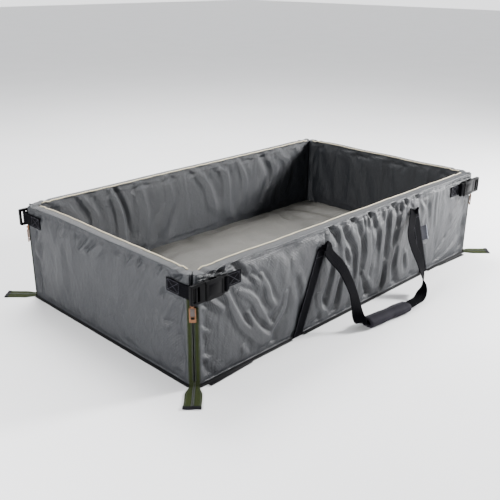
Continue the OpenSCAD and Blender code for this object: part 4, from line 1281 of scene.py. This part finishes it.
class CRADLE_OT_handles(bpy.types.Operator):
    """Model the carry handles: sewn legs, hanging loops, padded grips, and the sewn tag"""

    bl_idname = "cradle.handles"
    bl_label = "Handles"

    def execute(self, context):
        for wall, rear in (("front", 1), ("rear", -1)):
            self.legs(wall, rear)
            self.loop(wall, rear)
        self.tag()
        return {"FINISHED"}

    def legs(self, wall, rear):
        """Each leg slants in from the wall's foot to where its loop leaves, and is sewn down both sides."""
        rows = []
        rise = LEG_TOP_Z - WALL_Z
        half = WEBBING_W / 2 * math.hypot(LEG_FOOT - LEG_TOP, rise) / rise
        out = np.array([0, -1.0, 0]) * rear
        for n, s in enumerate((-1, 1)):
            z = np.linspace(WALL_Z + 0.2, LEG_TOP_Z - 0.2, 50)
            x = HANDLE_X + s * (LEG_FOOT + (LEG_TOP - LEG_FOOT) * (z - WALL_Z) / rise)
            y = -(HALF_W + 0.95 + 0.12 * np.sin(z / 13))
            path = np.stack([x, y * rear, z], 1)
            leg = ribbon(f"handle_leg_{wall}_{n + 1}", path, (1, 0, 0), 2 * half - 0.3, 1.7)
            finish_piece(leg, "polypropylene_webbing", wall + "_wall", "black_webbing",
                         *([] if n else ["handle_legs_" + wall]))
            for side in (-1, 1):
                line = path[1:-1] + np.array([side * (half - 2.4), 0, 0]) + out * 0.85
                rows.append((line, out))
            cross = [(x[-6] - half + 2.4, y[-6] * rear, z[-6]), (x[-6] + half - 2.4, y[-6] * rear, z[-6])]
            rows.append((np.array(cross) + out * 0.85, out))
        thread = stitches("handle_leg_stitching_" + wall, rows, height=0.45)
        finish_piece(thread, "black_thread", wall + "_wall", "black_webbing")

    def loop(self, wall, rear):
        """The loop folds over the top of each leg, falls to the ground and runs through the grip."""
        stations = [np.r_[HANDLE_X + a, -(HALF_W + HINGE_OUT + HANDLE_REACH * (1 - b) + c),
                          GRIP_Z + (LEG_TOP_Z - 4 - GRIP_Z) * b, way] for a, b, c, way in LOOP]
        top = LEG_TOP_Z
        for end, s in ((0, -1), (-1, 1)):
            a = stations[end].copy()
            over = [np.r_[HANDLE_X + s * (LEG_TOP - 4), -(HALF_W + 2.3), top - 7, a[3:]],
                    np.r_[HANDLE_X + s * (LEG_TOP - 6), -(HALF_W + 2.4), top + 1, a[3:]],
                    np.r_[HANDLE_X + s * (LEG_TOP - 9), -(HALF_W + 3.6), top + 3.2, a[3:]]]
            stations = over + stations[1:] if end == 0 else stations[:-1] + over[::-1]
        line = spline(stations, 4)
        flip = np.array([1, rear, 1])
        path, across = line[:, :3] * flip, line[:, 3:] * flip
        along = unit(np.gradient(path, axis=0))
        across = unit(across - along * (across * along).sum(1, keepdims=True))
        loop = ribbon("handle_loop_" + wall, path, across, WEBBING_W - 0.4, 1.7, cells=8)
        loop.data.materials.clear()
        loop.data.materials.append(MATERIALS["polypropylene_webbing"])
        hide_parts(f"handle_{wall}_webbing")
        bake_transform(loop)
        a, b = stations[GRIP_ENDS[0] + 2][:3] * flip, stations[GRIP_ENDS[1] + 2][:3] * flip
        self.grip(wall, a, b)

    def grip(self, wall, a, b):
        """A foam tube in a knitted wrap, oval, with soft ends and a sewn seam along its top."""
        mid, along = (a + b) / 2, unit(b - a)
        up = np.array([0, 0, 1.0])
        side = np.cross(up, along)
        rings, round_it = 46, 40
        s = np.linspace(-GRIP_L / 2, GRIP_L / 2, rings)
        edge = np.clip((GRIP_L / 2 - np.abs(s)) / 9, 0, 1)
        swell = np.sqrt(1 - (1 - edge) ** 2) * 0.22 + 0.78
        swell *= 1 - 0.03 * np.cos(s / 17) - 0.02 * np.sin(s / 9 + 1)
        angle = np.arange(round_it) * 2 * math.pi / round_it
        c, n = np.cos(angle), np.sin(angle)
        # a squared oval, pinched where the wrap's two edges meet
        wide = np.sign(c) * np.abs(c) ** 0.72 * 17.8
        tall = np.sign(n) * np.abs(n) ** 0.82 * 11.8 - 1.3 * np.exp(-((angle - 1.15) / 0.13) ** 2)
        points = []
        for at, size in zip(s, swell):
            sag = 0.5 * math.sin(at / 21)
            ring = side * (wide * size + sag)[:, None] + up * (tall * size)[:, None]
            points.append(mid + along * at + ring)
        points = np.vstack(points)
        points[:, 2] = np.maximum(points[:, 2], 0.4)
        piece = mesh_piece("handle_grip_" + wall, points, tube_faces(rings, round_it))
        only(piece)
        bpy.ops.object.mode_set(mode="EDIT")
        bpy.ops.mesh.select_all(action="SELECT")
        bpy.ops.mesh.normals_make_consistent(inside=False)
        bpy.ops.mesh.select_all(action="DESELECT")
        bpy.ops.mesh.select_mode(type="FACE")
        bpy.ops.object.mode_set(mode="OBJECT")
        for face in piece.data.polygons:
            face.select = len(face.vertices) > 4
        bpy.ops.object.mode_set(mode="EDIT")
        bpy.ops.mesh.inset(thickness=2.4 * MM, depth=-0.6 * MM, use_individual=True)
        bpy.ops.mesh.inset(thickness=1.2 * MM, depth=-2.5 * MM, use_individual=True)
        bpy.ops.object.mode_set(mode="OBJECT")
        finish_piece(smooth(piece, 60), "knit_grip_wrap", wall + "_handle", "grip_wrap",
                     f"handle_{wall}_grip")
        tree = tree_of(piece)
        rows = []
        for shift in (3.4, 9.4):
            line, normals = [], []
            for at in np.linspace(-GRIP_L / 2 + 5, GRIP_L / 2 - 5, 60):
                above = Vector((mid + along * at + side * shift + up * 40) * MM)
                hit, normal, _, _ = tree.ray_cast(above, Vector((0, 0, -1)))
                if hit is not None:
                    line.append(np.array(hit) / MM)
                    normals.append(np.array(normal))
            rows.append((np.array(line), np.array(normals)))
        thread = stitches("grip_stitching_" + wall, rows, length=3.0, gap=1.4, width=0.8, height=0.5)
        finish_piece(thread, "black_thread", wall + "_handle", "grip_wrap")

    def tag(self):
        """A folded woven tag, sewn in beside the right leg, whose free edge stands off the wall."""
        low, high = (np.array(corner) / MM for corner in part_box("tag"))
        lean = (LEG_FOOT - LEG_TOP) / (LEG_TOP_Z - WALL_Z)
        z = np.linspace(high[2] - 0.3, low[2] + 0.3, 24)
        x = low[0] + 13 + (high[2] - z) * lean
        y = np.full(24, low[1] + 0.55)
        path = np.stack([x, y, z], 1)
        tag = ribbon("sewn_tag", path, (1, 0, 0), 25.6, 0.9, cells=14, edge=0.2)
        p = points_of(tag)
        off = np.clip((p[:, 0] - np.interp(-p[:, 2], -z, x) + 9) / 22, 0, 1)
        p[:, 1] -= 2.6 * off ** 2 + 0.5 * off * np.sin(p[:, 2] / 7)
        place_points(tag, p)
        finish_piece(tag, "damask_label", "front_wall", "tag_fabric", "tag")


class CRADLE_OT_stage(bpy.types.Operator):
    """Set out the studio floor, the lights and the camera"""

    bl_idname = "cradle.stage"
    bl_label = "Studio"

    def execute(self, context):
        clear()
        bpy.ops.mesh.primitive_plane_add(size=30, location=(0, 0, -0.0004))
        floor = context.object
        floor.name = "studio_floor"
        bpy.ops.object.transform_apply(location=True, rotation=True, scale=True)
        floor.data.materials.append(MATERIALS["painted_floor"])
        world = bpy.data.worlds.new("studio")
        context.scene.world = world
        world.use_nodes = True
        self.sky(world.node_tree)
        for name, place, size, power in (
            ("key_softbox", (1.75, -1.25, 0.95), 0.45, 165),
            ("top_softbox", (0.4, 1.3, 2.4), 1.2, 110),
            ("left_fill", (-2.0, -0.3, 0.8), 0.6, 42),
        ):
            light = bpy.data.lights.new(name, "AREA")
            light.shape, light.size, light.energy = "SQUARE", size, power
            lamp = bpy.data.objects.new(name, light)
            lamp.location = place
            lamp.rotation_euler = (Vector((0, 0, 0.1)) - Vector(place)).to_track_quat("-Z", "Y").to_euler()
            context.scene.collection.objects.link(lamp)
        self.camera(context)
        return {"FINISHED"}

    def sky(self, tree):
        """A studio that is white behind the cradle and dim in front, so the folds keep their contrast."""
        place = add_node(tree, "ShaderNodeTexCoord")
        away = add_node(tree, "ShaderNodeVectorMath", {0: place.outputs["Generated"], 1: (0.66, 0.7, 0.28)},
                        operation="DOT_PRODUCT")
        bright = add_node(tree, "ShaderNodeMapRange",
                          {"Value": away.outputs["Value"], "From Min": -0.15, "From Max": 0.6,
                           "To Min": 0.10, "To Max": 2.2}, interpolation_type="SMOOTHSTEP")
        back = tree.nodes["Background"]
        back.inputs["Color"].default_value = linear("#f8f9fb")
        tree.links.new(bright.outputs["Result"], back.inputs["Strength"])

    def camera(self, context):
        """The camera stands off the front left corner, a little above the rims, and isn't shifted."""
        width = 2 * HALF_W * MM
        azimuth, height, roll = math.radians(-45.48), math.radians(21.49), math.radians(0.42)
        level = math.cos(height)
        back = Vector((math.sin(azimuth) * level, -math.cos(azimuth) * level, math.sin(height)))
        right = Vector((math.cos(azimuth), math.sin(azimuth), 0))
        up = back.cross(right)
        # in widths of the cradle from the middle of its foot
        place = (back * 3.143 - right * 0.072 + up * 0.093) * width
        turned_right = right * math.cos(roll) + up * math.sin(roll)
        turned_up = up * math.cos(roll) - right * math.sin(roll)
        lens = bpy.data.cameras.new("camera")
        lens.lens, lens.sensor_width = 50.85, 36
        camera = bpy.data.objects.new("camera", lens)
        axes = Matrix((turned_right, turned_up, back)).transposed()
        camera.matrix_world = Matrix.Translation(place) @ axes.to_4x4()
        context.scene.collection.objects.link(camera)
        context.scene.camera = camera


class CRADLE_PT_panel(bpy.types.Panel):
    """The cradle's sizes, colours and steps, in the sidebar"""

    bl_idname = "CRADLE_PT_panel"
    bl_label = "Cradle"
    bl_space_type = "VIEW_3D"
    bl_region_type = "UI"
    bl_category = "Cradle"

    def draw(self, context):
        for group in (context.scene.cradle_sizes, context.scene.cradle_colours):
            for key in group.bl_rna.properties.keys():
                if key not in ("rna_type", "name"):
                    self.layout.prop(group, key)
        for step in STEPS:
            self.layout.operator(step.bl_idname)


STEPS = (CRADLE_OT_walls, CRADLE_OT_base, CRADLE_OT_zips, CRADLE_OT_sliders, CRADLE_OT_buckles,
         CRADLE_OT_straps, CRADLE_OT_handles, CRADLE_OT_stage)
CLASSES = (CradleColours, CradleSizes, *STEPS, CRADLE_PT_panel)


def register():
    for each in CLASSES:
        bpy.utils.register_class(each)
    bpy.types.Scene.cradle_colours = bpy.props.PointerProperty(type=CradleColours)
    bpy.types.Scene.cradle_sizes = bpy.props.PointerProperty(type=CradleSizes)


def unregister():
    del bpy.types.Scene.cradle_sizes
    del bpy.types.Scene.cradle_colours
    for each in reversed(CLASSES):
        bpy.utils.unregister_class(each)


def main():
    """Register the add-on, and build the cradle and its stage."""
    register()
    SHAPES["stitch"], SHAPES["tooth"] = unit_shape(0.5), unit_shape(0.7, 0.16)
    make_materials(bpy.context.scene.cradle_colours)
    for step in STEPS:
        getattr(bpy.ops.cradle, step.bl_idname.split(".")[1])()


if __name__ == "__main__":
    main()
